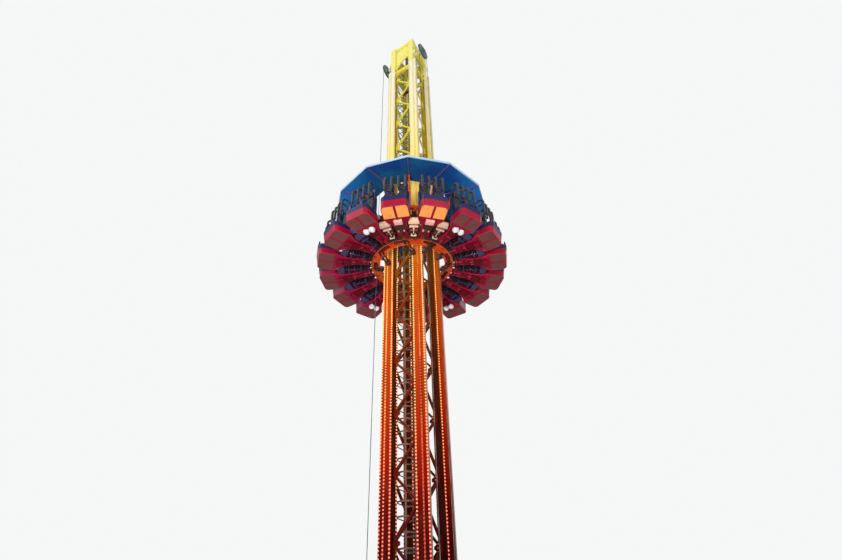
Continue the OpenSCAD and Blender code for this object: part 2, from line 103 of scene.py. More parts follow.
class Finish:
    def __init__(self, name, **constants):
        self.material = bpy.data.materials.new(name)
        self.material.use_nodes = True
        self.tree = self.material.node_tree
        self.tree.nodes.clear()
        self.shader = self.tree.nodes.new("ShaderNodeBsdfPrincipled")
        output = self.tree.nodes.new("ShaderNodeOutputMaterial")
        self.tree.links.new(self.shader.outputs[0], output.inputs["Surface"])
        for socket, value in constants.items():
            self.shader.inputs[socket.replace("_", " ")].default_value = value
        self.place = self.node("ShaderNodeTexCoord", output="Object")

    def node(self, kind, settings=None, sockets=None, output=0):
        made = self.tree.nodes.new(kind)
        for key, value in (settings or {}).items():
            if key == "stops":
                ramp = made.color_ramp
                while len(ramp.elements) < len(value):
                    ramp.elements.new(1)
                for element, (position, colour) in zip(ramp.elements, value):
                    element.position = position
                    element.color = colour
            else:
                setattr(made, key, value)
        for key, value in (sockets or {}).items():
            if isinstance(value, Wire):
                self.tree.links.new(value.socket, made.inputs[key])
            elif value is not None:
                made.inputs[key].default_value = value
        return Wire(self, made.outputs[output])

    def maths(self, operation, a, b=None):
        return self.node("ShaderNodeMath", {"operation": operation}, {0: a, 1: b})

    def axes(self):
        split = self.node("ShaderNodeSeparateXYZ", None, {0: self.place})
        outputs = split.socket.node.outputs
        return Wire(self, outputs[0]), Wire(self, outputs[1]), Wire(self, outputs[2])

    def stretch(self, scale, turn=(0, 0, 0)):
        return self.node("ShaderNodeMapping", None, {"Vector": self.place, "Scale": scale, "Rotation": turn})

    def noise(self, scale, detail=2.0, rough=0.5, vector=None):
        return self.node("ShaderNodeTexNoise", None,
                         {"Vector": vector or self.place, "Scale": scale, "Detail": detail, "Roughness": rough})

    def cells(self, scale):
        return self.node("ShaderNodeTexVoronoi", None, {"Vector": self.place, "Scale": scale})

    def ramp(self, value, low, high):
        return self.node("ShaderNodeMapRange", {"clamp": True},
                         {"Value": value, "From Min": low, "From Max": high})

    def colours(self, value, stops):
        stops = [(position, (*colour, 1.0)) for position, colour in stops]
        return self.node("ShaderNodeValToRGB", {"stops": stops}, {"Fac": value})

    def mix(self, factor, a, b):
        a, b = (c if isinstance(c, Wire) else (*c, 1.0) for c in (a, b))
        return self.node("ShaderNodeMix", {"data_type": "RGBA"}, {0: factor, 6: a, 7: b}, output=2)

    def bump(self, height, strength, distance):
        return self.node("ShaderNodeBump", None, {"Height": height, "Strength": strength, "Distance": distance})

    def wearMask(self, scale, low, high):
        return self.ramp(self.noise(scale, 8.0, 0.65), low, high)

    def set(self, **wires):
        for socket, value in wires.items():
            target = self.shader.inputs[socket.replace("_", " ")]
            if isinstance(value, Wire):
                self.tree.links.new(value.socket, target)
            else:
                target.default_value = value
        return self.material


# The tower's colour is painted light: graded by height, from the lowest to the highest tinted level, for the
# coloured glow of its lamp strings, and by zone: outer faces of the posts painted lit, their inner faces darker
# as painted shade, and the bars between them.
tower = {"low": 3.0, "high": 24.0, "barsTo": 0.3245, "outerFrom": 0.3264, "headFrom": 22.24, "headHalf": 0.56}


def paintedLightByHeight(f, shift):
    x, y, z = f.axes()
    level = f.ramp(z + shift, tower["low"], tower["high"])
    litOutside = f.colours(level, [
        (0.00, (0.035, 0.0004, 0.0003)), (0.05, (0.060, 0.0006, 0.0003)), (0.09, (0.105, 0.001, 0.0003)),
        (0.12, (0.19, 0.004, 0.0003)), (0.16, (0.27, 0.011, 0.0003)), (0.22, (0.34, 0.023, 0.0003)),
        (0.30, (0.42, 0.046, 0.0005)), (0.38, (0.56, 0.082, 0.001)), (0.46, (0.70, 0.19, 0.006)),
        (0.54, (0.82, 0.56, 0.10)), (0.64, (0.84, 0.68, 0.21)), (0.72, (0.85, 0.74, 0.35)),
        (0.82, (0.87, 0.79, 0.50)), (1.00, (0.88, 0.81, 0.57))])
    bars = f.colours(level, [
        (0.00, (0.050, 0.002, 0.001)), (0.10, (0.095, 0.006, 0.002)), (0.24, (0.14, 0.015, 0.003)),
        (0.36, (0.22, 0.040, 0.004)), (0.46, (0.36, 0.12, 0.010)), (0.56, (0.58, 0.42, 0.035)),
        (0.72, (0.72, 0.60, 0.060)), (1.00, (0.78, 0.68, 0.080))])
    # Painted shade on the inner faces of the posts.
    shadedInside = f.colours(level, [
        (0.00, (0.018, 0.001, 0.001)), (0.24, (0.050, 0.006, 0.001)), (0.38, (0.13, 0.022, 0.002)),
        (0.50, (0.26, 0.11, 0.006)), (0.62, (0.36, 0.24, 0.012)), (1.00, (0.34, 0.26, 0.014))])
    acrossX, acrossY = f.maths("ABSOLUTE", x), f.maths("ABSOLUTE", y)
    off = f.maths("MINIMUM", acrossX, acrossY)
    base = f.mix(f.ramp(off, tower["barsTo"] - 0.0002, tower["barsTo"] + 0.0002), bars, shadedInside)
    base = f.mix(f.ramp(off, tower["outerFrom"] - 0.0008, tower["outerFrom"] + 0.0008), base, litOutside)
    atHead = (z > tower["headFrom"]) * (f.maths("MAXIMUM", acrossX, acrossY) < tower["headHalf"])
    return f.mix(atHead, base, (0.84, 0.77, 0.19))


def towerPaint(name="towerPaint", polished=False):
    f = Finish(name, Specular_IOR_Level=0.04)
    x, y, z = f.axes()
    patch = f.noise(1.1, 4.0, 0.6)
    # Painted coloured light by height, its level shifted a little at random.
    base = paintedLightByHeight(f, patch - 0.5)
    drips = f.ramp(f.noise(5.0, 5.0, 0.6, f.stretch((11, 11, 0.35))), 0.55, 0.8)
    base = f.mix(drips * 0.3, base, (0.11, 0.030, 0.008))
    grime = f.ramp(f.noise(2.6, 6.0, 0.7), 0.52, 0.85)
    base = f.mix(grime * 0.25, base, (0.14, 0.045, 0.012))
    chip = f.wearMask(17.0, 0.655, 0.675)
    base = f.mix(chip * 0.8, base, (0.055, 0.026, 0.014))
    rough = 0.46 + patch * 0.14 + chip * 0.3
    if polished:
        face = f.ramp(f.maths("ABSOLUTE", x), 0.6645, 0.6649)
        base = f.mix(face * 0.6, base, (0.34, 0.28, 0.22))
        rough = rough - face * 0.18
        f.set(Metallic=face * 0.7)
    f.set(Base_Color=base, Roughness=rough,
          Normal=f.bump(f.noise(230.0, 3.0) * 0.35 + f.noise(22.0, 3.0) * 0.5 - chip, 0.22, 0.0012))
    return f.material


def ladderZinc():
    f = Finish("ladderZinc", Specular_IOR_Level=0.25)
    x, y, z = f.axes()
    patch = f.noise(3.0, 4.0, 0.6)
    # Painted coloured light: the zinc goes from reddish low down to pale mint at the top.
    level = f.ramp(z + patch, tower["low"], tower["high"])
    hoops = f.colours(level, [
        (0.00, (0.10, 0.045, 0.035)), (0.22, (0.20, 0.085, 0.055)), (0.42, (0.20, 0.095, 0.050)),
        (0.55, (0.10, 0.13, 0.050)), (0.75, (0.11, 0.17, 0.085)), (1.00, (0.26, 0.34, 0.20))])
    shadedStiles = f.colours(level, [
        (0.00, (0.022, 0.018, 0.012)), (0.36, (0.030, 0.024, 0.014)), (0.50, (0.045, 0.055, 0.030)),
        (0.75, (0.080, 0.13, 0.070)), (1.00, (0.22, 0.30, 0.15))])
    # Painted shade: the stiles are darker than the hoops at every height.
    near = (f.maths("ABSOLUTE", x + 0.385) < 0.027) * (f.maths("ABSOLUTE", y + 0.06) > 0.172)
    base = f.mix(near, hoops, shadedStiles)
    spangle = f.cells(95.0)
    base = f.mix(spangle * 0.15, base, (0.24, 0.19, 0.14))
    rust = f.ramp(f.noise(9.0, 5.0, 0.7), 0.58, 0.76)
    base = f.mix(rust * 0.5, base, (0.08, 0.025, 0.010))
    f.set(Base_Color=base, Roughness=0.5 + patch * 0.2, Metallic=0.15,
          Normal=f.bump(f.noise(160.0, 3.0) * 0.4 + rust * 0.5, 0.25, 0.001))
    return f.material


def plainPaint(name, colour, dark, roughness=0.45, metal=0.0, coat=0.1, wear=0.6, grain=240.0):
    f = Finish(name, Metallic=metal, Coat_Weight=coat, Coat_Roughness=0.25, Specular_IOR_Level=0.22)
    patch = f.noise(2.4, 4.0, 0.6)
    base = f.mix(f.ramp(patch, 0.35, 0.75) * 0.55, colour, dark)
    dust = f.ramp(f.noise(7.0, 6.0, 0.7), 0.55, 0.8)
    base = f.mix(dust * 0.16, base, (0.20, 0.15, 0.12))
    chip = f.wearMask(19.0, 0.665, 0.685)
    base = f.mix(chip * wear, base, (0.07, 0.05, 0.04))
    f.set(Base_Color=base, Roughness=roughness + patch * 0.16 + chip * 0.2,
          Normal=f.bump(f.noise(grain, 2.0) * 0.3 - chip, 0.18, 0.001))
    return f.material


nearGap = -56.25


# A share of 1 within so many degrees of the gap that faces the view, and 0 past the fade: where warm light is
# painted on.
def paintedLightShare(f, width, fade):
    x, y, z = f.axes()
    a = math.radians(nearGap)
    across = (x * math.cos(a) + y * math.sin(a)) / ((x * x + y * y) ** 0.5 + 0.001)
    return f.ramp(across, math.cos(math.radians(width + fade)), math.cos(math.radians(width)))


# Lit and shaded copies of one paint: round the gap that faces the view the parts get painted warm light, elsewhere
# the darker colour they show in shade.
def litPaint(name, colour, paintedLightColour, dark, width=21.0, fade=1.5):
    f = Finish(name, Specular_IOR_Level=0.12)
    patch = f.noise(3.1, 5.0, 0.6)
    base = f.mix(f.ramp(patch, 0.4, 0.8) * 0.5, colour, dark)
    glow = f.mix(f.ramp(patch, 0.45, 0.85) * 0.35, paintedLightColour, dark)
    base = f.mix(paintedLightShare(f, width, fade), base, glow)
    scuff = f.wearMask(15.0, 0.62, 0.66)
    base = f.mix(scuff * 0.3, base, (0.12, 0.06, 0.05))
    f.set(Base_Color=base, Roughness=0.5 + patch * 0.2,
          Normal=f.bump(f.noise(150.0, 3.0) * 0.4 - scuff * 0.5, 0.2, 0.001))
    return f.material


# The upper part of every tub is navy.
navy = {"above": 11.80, "beyond": 2.345, "colour": (0.012, 0.012, 0.060)}


def moulded(name, colour, deep, edge, coat=0.10):
    f = Finish(name, Coat_Weight=coat, Coat_Roughness=0.14, Specular_IOR_Level=0.16)
    x, y, z = f.axes()
    cloud = f.noise(1.7, 3.0, 0.55)
    base = f.mix(f.ramp(cloud, 0.35, 0.7), colour, deep)
    # Painted light: towards -X the shells are painted more mauve, for the bluish daylight falling on that side.
    left = f.ramp(x * -1.0, 0.2, 2.6)
    base = f.mix(left * 0.5, base, (0.22, 0.003, 0.055))
    film = f.ramp(f.noise(9.0, 6.0, 0.7), 0.58, 0.82)
    base = f.mix(film * 0.16, base, edge)
    scratch = f.ramp(f.noise(60.0, 2.0, 0.5, f.stretch((1, 1, 7))), 0.70, 0.74)
    base = f.mix(scratch * 0.25, base, edge)
    reach = (x * x + y * y) ** 0.5
    base = f.mix((z > navy["above"]) * (reach > navy["beyond"]), base, navy["colour"])
    f.set(Base_Color=base, Roughness=0.34 + cloud * 0.18 + scratch * 0.2,
          Normal=f.bump(f.noise(34.0, 3.0) * 0.5 + f.noise(300.0, 2.0) * 0.12, 0.14, 0.0015))
    return f.material


def canopySkin():
    f = Finish("canopySkin", Coat_Weight=0.03, Coat_Roughness=0.2, Specular_IOR_Level=0.1)
    x, y, z = f.axes()
    # Painted reflection: teal clouds and a lighter haze stand in for cloudy reflections on the skin.
    cloud = f.noise(0.9, 4.0, 0.6, f.stretch((1, 1, 2), (0, 0, 0.6)))
    base = f.mix(f.ramp(cloud, 0.42, 0.68), (0.003, 0.078, 0.360), (0.006, 0.190, 0.370))
    reflectionHaze = f.ramp(f.noise(2.2, 5.0, 0.65), 0.54, 0.72)
    base = f.mix(reflectionHaze * 0.35, base, (0.055, 0.12, 0.40))
    # Painted shade: the skin darkens towards the opening in the middle.
    reach = (x * x + y * y) ** 0.5
    base = f.mix(f.ramp(reach, 2.2, 1.3) * 0.35, base, (0.003, 0.050, 0.21))
    # Painted light: brighter blue towards the two sides that lie across the view.
    side = f.ramp(f.maths("ABSOLUTE", x * 0.848 + y * 0.53), 1.2, 2.2)
    base = f.mix(side * 0.85, base, (0.025, 0.26, 0.78))
    f.set(Base_Color=base, Roughness=0.42 + cloud * 0.2,
          Normal=f.bump(f.noise(26.0, 3.0) * 0.5 + f.noise(280.0, 2.0) * 0.1, 0.14, 0.0015))
    return f.material


def wireRope():
    f = Finish("wireRope", Metallic=0.7, Specular_IOR_Level=0.4)
    x, y, z = f.axes()
    side = f.maths("ABSOLUTE", x) - 0.89
    lay = f.maths("SINE", (z + f.maths("ARCTAN2", y, side) * 0.012) * 300.0)
    grease = f.ramp(f.noise(3.0, 4.0), 0.4, 0.7)
    f.set(Base_Color=f.mix(grease, (0.16, 0.15, 0.14), (0.05, 0.045, 0.04)), Roughness=0.4 + grease * 0.2,
          Normal=f.bump(lay, 0.5, 0.002))
    return f.material


def vinyl(name, colour, dark):
    f = Finish(name, Specular_IOR_Level=0.4, Coat_Weight=0.04)
    grain = f.cells(420.0)
    crease = f.noise(38.0, 4.0, 0.6)
    base = f.mix(f.ramp(crease, 0.4, 0.75), colour, dark)
    worn = f.ramp(f.noise(11.0, 5.0, 0.7), 0.55, 0.75)
    base = f.mix(worn * 0.4, base, (0.09, 0.08, 0.085))
    f.set(Base_Color=base, Roughness=0.48 + crease * 0.15 - worn * 0.08,
          Normal=f.bump(grain * 0.6 + crease * 0.8, 0.35, 0.0012))
    return f.material


def ledLens():
    f = Finish("ledLens", Roughness=0.3, Specular_IOR_Level=0.2, Emission_Strength=1.0)
    x, y, z = f.axes()
    level = f.ramp(z, tower["low"], tower["high"])
    tint = f.colours(level, [
        (0.00, (0.95, 0.22, 0.16)), (0.08, (1.0, 0.30, 0.20)), (0.14, (1.0, 0.36, 0.15)),
        (0.22, (1.0, 0.46, 0.13)), (0.34, (1.0, 0.60, 0.20)), (0.45, (1.0, 0.72, 0.30)),
        (0.53, (0.80, 0.58, 0.20)), (0.62, (0.76, 0.62, 0.22)), (0.82, (0.80, 0.73, 0.47)),
        (1.00, (0.82, 0.76, 0.54))])
    glow = f.colours(level, [
        (0.00, (0.62, 0.12, 0.08)), (0.14, (0.70, 0.22, 0.08)), (0.34, (0.85, 0.42, 0.12)),
        (0.46, (0.60, 0.36, 0.12)), (0.53, (0.0, 0.0, 0.0)), (1.00, (0.0, 0.0, 0.0))])
    flicker = f.ramp(f.noise(14.0, 2.0), 0.3, 0.7)
    acrossX = f.maths("ABSOLUTE", x)
    middle = (acrossX > 0.500) * (acrossX < 0.545)
    faint = middle * (0.30 + (x > 0.0) * (y < 0.0) * 0.55) * (level < 0.5)
    quiet = flicker * 0.15 + faint
    f.set(Base_Color=f.mix(quiet, tint, (0.50, 0.07, 0.01)),
          Emission_Color=f.mix(quiet, glow, (0.08, 0.008, 0.001)))
    return f.material


def ledTrack():
    f = Finish("ledTrack", Roughness=0.5, Specular_IOR_Level=0.1)
    x, y, z = f.axes()
    level = f.ramp(z, tower["low"], tower["high"])
    # Painted light: the channels' colour by height stands in for the glow of the lamp strings on them, and the dark
    # patches low down are painted where that glow is missing.
    lit = f.colours(level, [
        (0.00, (0.26, 0.010, 0.006)), (0.12, (0.50, 0.045, 0.018)), (0.24, (0.66, 0.14, 0.030)),
        (0.40, (0.74, 0.26, 0.055)), (0.50, (0.74, 0.38, 0.070)), (0.62, (0.77, 0.62, 0.20)),
        (0.82, (0.80, 0.73, 0.47)), (1.00, (0.82, 0.76, 0.54))])
    unlit = f.ramp(f.noise(0.75, 2.0, 0.5, f.stretch((3.1, 2.3, 1.0))), 0.50, 0.56) * (level < 0.47)
    f.set(Base_Color=f.mix(unlit * 0.9, lit, (0.050, 0.003, 0.001)))
    return f.material


def lampGlass():
    f = Finish("lampGlass", Roughness=0.25, Emission_Strength=0.25)
    facets = f.cells(46.0)
    f.set(Base_Color=f.mix(facets, (0.80, 0.82, 0.84), (0.55, 0.57, 0.60)), Emission_Color=(1, 0.96, 0.90, 1),
          Normal=f.bump(facets, 0.4, 0.003))
    return f.material


finishes = {
    "tower_paint": towerPaint(),
    "rail_paint": towerPaint("railPaint", True),
    "galvanised": ladderZinc(),
    "sheave_paint": plainPaint("sheavePaint", (0.10, 0.17, 0.17), (0.055, 0.09, 0.09), 0.45),
    "rope_steel": wireRope(),
    "ring_paint": plainPaint("ringPaint", (0.70, 0.075, 0.006), (0.46, 0.030, 0.003), 0.38, 0.0, 0.04, 0.4),
    "bogie_paint": plainPaint("bogiePaint", (0.085, 0.022, 0.014), (0.035, 0.010, 0.007), 0.5),
    "roller_rubber": plainPaint("rollerRubber", (0.030, 0.026, 0.024), (0.014, 0.013, 0.012), 0.7),
    "shell_red": moulded("shellRed", (0.33, 0.0015, 0.024), (0.22, 0.001, 0.015), (0.36, 0.015, 0.05), 0.02),
    "back_blue": moulded("backNavy", (0.010, 0.012, 0.050), (0.005, 0.006, 0.028), (0.05, 0.05, 0.09)),
    "arm_paint": plainPaint("armPaint", (0.020, 0.018, 0.026), (0.009, 0.008, 0.012), 0.5),
    # The pans carry painted warm light on the units facing the view.
    "pan_grey": litPaint("panPaint", (0.165, 0.050, 0.046), (1.0, 0.37, 0.090), (0.085, 0.034, 0.028)),
    "cushion": vinyl("cushionVinyl", (0.022, 0.021, 0.026), (0.011, 0.010, 0.013)),
    "canopy_blue": canopySkin(),
    "rib_mauve": plainPaint("ribMauve", (0.20, 0.11, 0.28), (0.12, 0.06, 0.19), 0.45),
    "rim_grey": plainPaint("rimGrey", (0.42, 0.58, 0.76), (0.26, 0.40, 0.60), 0.35, 0.15),
}
extras = {"ledLens": ledLens(), "ledTrack": ledTrack(), "lampGlass": lampGlass()}
for make, name, *tones in (
        (plainPaint, "zincBolt", (0.24, 0.17, 0.10), (0.12, 0.07, 0.04), 0.45, 0.2, 0.0, 0.3),
        # The petal edge paint is lighter than the shell, a painted highlight.
        (moulded, "shellEdge", (0.46, 0.020, 0.055), (0.32, 0.010, 0.032), (0.52, 0.09, 0.14), 0.1),
        (plainPaint, "lipMauve", (0.26, 0.10, 0.26), (0.15, 0.05, 0.16), 0.4),
        # The ring edge paint is brighter than the ring, a painted highlight.
        (plainPaint, "ringEdge", (0.80, 0.15, 0.030), (0.58, 0.07, 0.012), 0.35, 0.0, 0.1, 0.2),
        # Dark red for the slot covers, painted shade inside the ring's openings; the ring bolts share it.
        (plainPaint, "slotDark", (0.20, 0.012, 0.006), (0.10, 0.006, 0.003), 0.45),
        (plainPaint, "cabinetDark", (0.035, 0.032, 0.010), (0.018, 0.017, 0.008), 0.5),
        (plainPaint, "lampWhite", (0.74, 0.72, 0.74), (0.50, 0.47, 0.50), 0.35, 0.0, 0.3, 0.2),
        # These paints carry painted warm light on the units facing the view and painted shade elsewhere.
        (litPaint, "lockDark", (0.010, 0.010, 0.014), (0.055, 0.034, 0.018), (0.006, 0.005, 0.006), 8, 30),
        (litPaint, "lockMiddle", (0.050, 0.010, 0.018), (0.32, 0.075, 0.030), (0.024, 0.005, 0.008), 8, 30),
        (litPaint, "lockPale", (0.050, 0.042, 0.105), (0.95, 0.60, 0.42), (0.030, 0.018, 0.040), 8, 34),
        (litPaint, "boxRed", (0.17, 0.003, 0.013), (0.92, 0.48, 0.42), (0.11, 0.003, 0.009), 13, 8),
        (litPaint, "actuatorRed", (0.12, 0.002, 0.009), (0.060, 0.030, 0.018), (0.07, 0.002, 0.006), 15, 20),
        (litPaint, "deckPaint", (0.010, 0.010, 0.050), (0.15, 0.034, 0.022), (0.006, 0.005, 0.022), 12, 10)):
    extras[name] = make(name, *tones)
for part in frame["record"]["subparts"]:
    node = cadNodes[part["node"]]
    node.data.materials.clear()
    node.data.materials.append(finishes[part["material_slot"]])
print("finishes set")


# Working by hand: pick, add at size and place, shape, apply.
def pick(*pieces):
    bpy.ops.object.select_all(action="DESELECT")
    for piece in pieces:
        piece.select_set(True)
    bpy.context.view_layer.objects.active = pieces[-1]
    return pieces[-1]


def applied(piece, kind, **settings):
    pick(piece)
    bpy.ops.object.modifier_add(type=kind)
    tool = piece.modifiers[-1]
    for key, value in settings.items():
        setattr(tool, key, value)
    bpy.ops.object.modifier_apply(modifier=tool.name)
    return piece


def softened(piece, width, steps=1):
    return applied(piece, "BEVEL", width=width, segments=steps, limit_method="ANGLE")


def addBlock(low, high, edge=0.0, steps=1):
    bpy.ops.object.select_all(action="DESELECT")
    low, high = Vector(low), Vector(high)
    bpy.ops.mesh.primitive_cube_add(size=1, location=(low + high) / 2)
    piece = bpy.context.active_object
    piece.scale = high - low
    bpy.ops.object.transform_apply(location=True, rotation=True, scale=True)
    return softened(piece, edge, steps) if edge else piece


def addDrum(centre, radius, depth, axis="Z", sides=24, edge=0.0, steps=1):
    turns = {"X": (0, math.pi / 2, 0), "Y": (math.pi / 2, 0, 0), "Z": (0, 0, 0)}
    bpy.ops.object.select_all(action="DESELECT")
    bpy.ops.mesh.primitive_cylinder_add(vertices=sides, radius=radius, depth=depth, location=centre,
                                        rotation=turns[axis])
    piece = bpy.context.active_object
    bpy.ops.object.transform_apply(location=True, rotation=True, scale=True)
    return softened(piece, edge, steps) if edge else piece


def addTorus(radius, level, thick, sides):
    bpy.ops.object.select_all(action="DESELECT")
    bpy.ops.mesh.primitive_torus_add(location=(0, 0, level), major_radius=radius, minor_radius=thick,
                                     major_segments=96, minor_segments=sides)
    bpy.ops.object.transform_apply(location=True, rotation=True, scale=True)
    return bpy.context.active_object


def addBall(segments, rings, radius, place=(0, 0, 0), size=(1, 1, 1)):
    bpy.ops.object.select_all(action="DESELECT")
    bpy.ops.mesh.primitive_uv_sphere_add(segments=segments, ring_count=rings, radius=radius, location=place)
    piece = bpy.context.active_object
    piece.scale = size
    bpy.ops.object.transform_apply(location=True, rotation=True, scale=True)
    return piece


# An open band round Y.
def addBand(place, radius, wide, sides):
    bpy.ops.object.select_all(action="DESELECT")
    bpy.ops.mesh.primitive_cylinder_add(vertices=sides, radius=radius, depth=wide, end_fill_type="NOTHING",
                                        rotation=(math.pi / 2, 0, 0), location=place)
    bpy.ops.object.transform_apply(location=True, rotation=True, scale=True)
    return bpy.context.active_object


# Cut by planes, each with its place and the way that is cleared away.
def trimmed(piece, cuts, fill=False):
    pick(piece)
    bpy.ops.object.mode_set(mode="EDIT")
    for spot, way in cuts:
        bpy.ops.mesh.select_all(action="SELECT")
        bpy.ops.mesh.bisect(plane_co=spot, plane_no=way, clear_outer=True, use_fill=fill)
    bpy.ops.object.mode_set(mode="OBJECT")
    return piece


def gridded(piece, cuts):
    pick(piece)
    bpy.ops.object.mode_set(mode="EDIT")
    bpy.ops.mesh.select_all(action="SELECT")
    bpy.ops.mesh.subdivide(number_cuts=cuts)
    bpy.ops.object.mode_set(mode="OBJECT")
    return piece


def selectFaces(piece, test):
    pick(piece)
    bpy.ops.object.mode_set(mode="EDIT")
    bpy.ops.mesh.select_mode(type="FACE")
    bpy.ops.mesh.select_all(action="DESELECT")
    bpy.ops.object.mode_set(mode="OBJECT")
    for face in piece.data.polygons:
        face.select = test(face)
    bpy.ops.object.mode_set(mode="EDIT")


def doneEditing():
    bpy.ops.object.mode_set(mode="OBJECT")


def joined(pieces):
    pick(*pieces)
    if len(pieces) > 1:
        bpy.ops.object.join()
    return bpy.context.active_object


def spread(piece, places):
    copies = []
    for place in places:
        twin = piece.copy()
        twin.data = piece.data.copy()
        bpy.context.collection.objects.link(twin)
        twin.data.transform(place)
        copies.append(twin)
    bpy.data.objects.remove(piece)
    return joined(copies)


def inRow(piece, count, step):
    return applied(piece, "ARRAY", count=count, use_relative_offset=False, use_constant_offset=True,
                   constant_offset_displace=step)


def turned(degrees):
    return Matrix.Rotation(math.radians(degrees), 4, "Z")


# Places of bolts in a circle round an axle along X.
def boltCircle(x, radius, side, count=6):
    turns = [2 * math.pi * k / count for k in range(count)]
    return [standing((x, head["axleY"] + radius * math.cos(a), head["axle"] + radius * math.sin(a)), (side, 0, 0))
            for a in turns]


def moved(x, y, z):
    return Matrix.Translation((x, y, z))


def standing(place, normal):
    return Matrix.Translation(place) @ Vector(normal).to_track_quat("Z", "Y").to_matrix().to_4x4()


def addTube(points, radius, sides=8, widths=None, closed=False):
    path = bpy.data.curves.new("path", "CURVE")
    path.dimensions = "3D"
    path.bevel_depth = radius
    path.bevel_resolution = max(0, sides // 4 - 1)
    path.use_fill_caps = not closed
    line = path.splines.new("POLY")
    line.points.add(len(points) - 1)
    line.use_cyclic_u = closed
    for spot, point, width in zip(line.points, points, widths or [1] * len(points)):
        spot.co = (*point, 1)
        spot.radius = width
    piece = bpy.data.objects.new("tube", path)
    bpy.context.collection.objects.link(piece)
    pick(piece)
    bpy.ops.object.convert(target="MESH")
    return bpy.context.active_object


def keep(piece, name, body, slot, finish=None, smooth=35, replaces=None):
    piece.name = name
    piece.data.name = name
    piece.data.materials.clear()
    piece.data.materials.append(extras[finish] if finish else finishes[slot])
    pick(piece)
    bpy.ops.object.shade_smooth_by_angle(angle=math.radians(smooth))
    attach(piece, body)
    if replaces:
        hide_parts(replaces)
    return piece


def addBolt(size, high, washer=0.0):
    head = addDrum((0, 0, high / 2 + washer), size, high, "Z", 6)
    selectFaces(head, lambda face: face.normal.z > 0.9)
    bpy.ops.mesh.inset(thickness=size * 0.2, depth=0)
    bpy.ops.transform.translate(value=(0, 0, high * 0.18))
    doneEditing()
    if not washer:
        return head
    ring = addDrum((0, 0, washer / 2), size * 1.5, washer, "Z", 12)
    return joined([head, ring])


units = [turned(22.5 * k) for k in range(16)]
gaps = [turned(22.5 * k + 11.25) for k in range(16)]
seatSide = 0.1925
seats = [unit @ moved(0, side * seatSide, 0) for unit in units for side in (-1, 1)]
corners = [(sx, sy) for sx in (-1, 1) for sy in (-1, 1)]

# Strings of small domed lamps on every post, one domed lamp each 80 mm.
led = {"pitch": 0.08, "radius": 0.0215, "low": 0.56, "high": 22.36, "railHigh": 22.16, "inset": 0.028,
       "channelWide": 0.036, "channelProud": 0.006, "postOuter": 0.55, "postInner": 0.325, "railX": 0.643,
       "railY": 0.532}


def addLedString(high):
    count = int((high - led["low"]) / led["pitch"]) + 1
    bead = trimmed(addBall(8, 4, led["radius"]), [((0, 0, 0), (0, 0, -1))])
    bead.data.transform(standing((0, -led["channelProud"], led["low"]), (0, -1, 0)))
    return inRow(bead, count, (0, 0, led["pitch"]))


def addLedChannel(high):
    wide, proud = led["channelWide"] / 2, led["channelProud"]
    channel = addBlock((-wide, -proud, led["low"] - 0.05), (wide, 0.001, high + 0.05))
    selectFaces(channel, lambda face: face.normal.y < -0.9)
    bpy.ops.mesh.inset(thickness=0.004)
    bpy.ops.transform.translate(value=(0, 0.003, 0))
    doneEditing()
    return channel


def ledPlaces(sx, sy):
    outer, inner, off = led["postOuter"], led["postInner"], led["inset"]
    onPost = [(sx * (outer - off), sy * outer, (0, sy)), (sx * (inner + off), sy * outer, (0, sy)),
              (sx * outer, sy * (inner + off), (sx, 0)), (sx * inner, sy * (inner + off), (-sx, 0))]
    return onPost, [(sx * led["railX"], sy * led["railY"], (0, sy))]


def faceTurn(normal):
    return Matrix.Rotation(math.atan2(normal[1], normal[0]) + math.pi / 2, 4, "Z")


for sx, sy in corners:
    side = ("Front" if sy < 0 else "Rear") + ("Left" if sx < 0 else "Right")
    onPost, onRail = ledPlaces(sx, sy)
    for make, label, slot, finish in ((addLedString, "ledBeads", "galvanised", "ledLens"),
                                      (addLedChannel, "ledChannels", "tower_paint", "ledTrack")):
        parts = [spread(make(led["high"]), [moved(x, y, 0) @ faceTurn(n) for x, y, n in onPost]),
                 spread(make(led["railHigh"]), [moved(x, y, 0) @ faceTurn(n) for x, y, n in onRail])]
        keep(joined(parts), label + side, "tower", slot, finish, 60)
print("lamp strings made")

# Bolted gussets of the lattice: four bolts through each, on both faces.
gusset = {"foot": 0.48, "pitch": 1.45, "plane": 0.4375, "edge": 0.289, "out": 0.006,
          "rows": (-0.205, -0.125, 0.125, 0.205), "bolt": 0.015, "head": 0.011}


def gussetBolts():
    made = []
    for normal, along in (((0, -1), (1, 0)), ((1, 0), (0, -1)), ((0, 1), (-1, 0)), ((-1, 0), (0, 1))):
        for end, start, count in ((1, 0.0, 15), (-1, 0.5, 15)):
            places = []
            for face in (-1, 1):
                for row in gusset["rows"]:
                    level = gusset["foot"] + start * gusset["pitch"] + row
                    out = gusset["plane"] + face * gusset["out"]
                    spot = (normal[0] * out + along[0] * end * gusset["edge"],
                            normal[1] * out + along[1] * end * gusset["edge"], level)
                    places.append(standing(spot, (normal[0] * face, normal[1] * face, 0)))
            made.append(inRow(spread(addBolt(gusset["bolt"], gusset["head"]), places), count,
                              (0, 0, gusset["pitch"])))
    return joined(made)


keep(gussetBolts(), "gussetBolts", "tower", "tower_paint", None, 30)

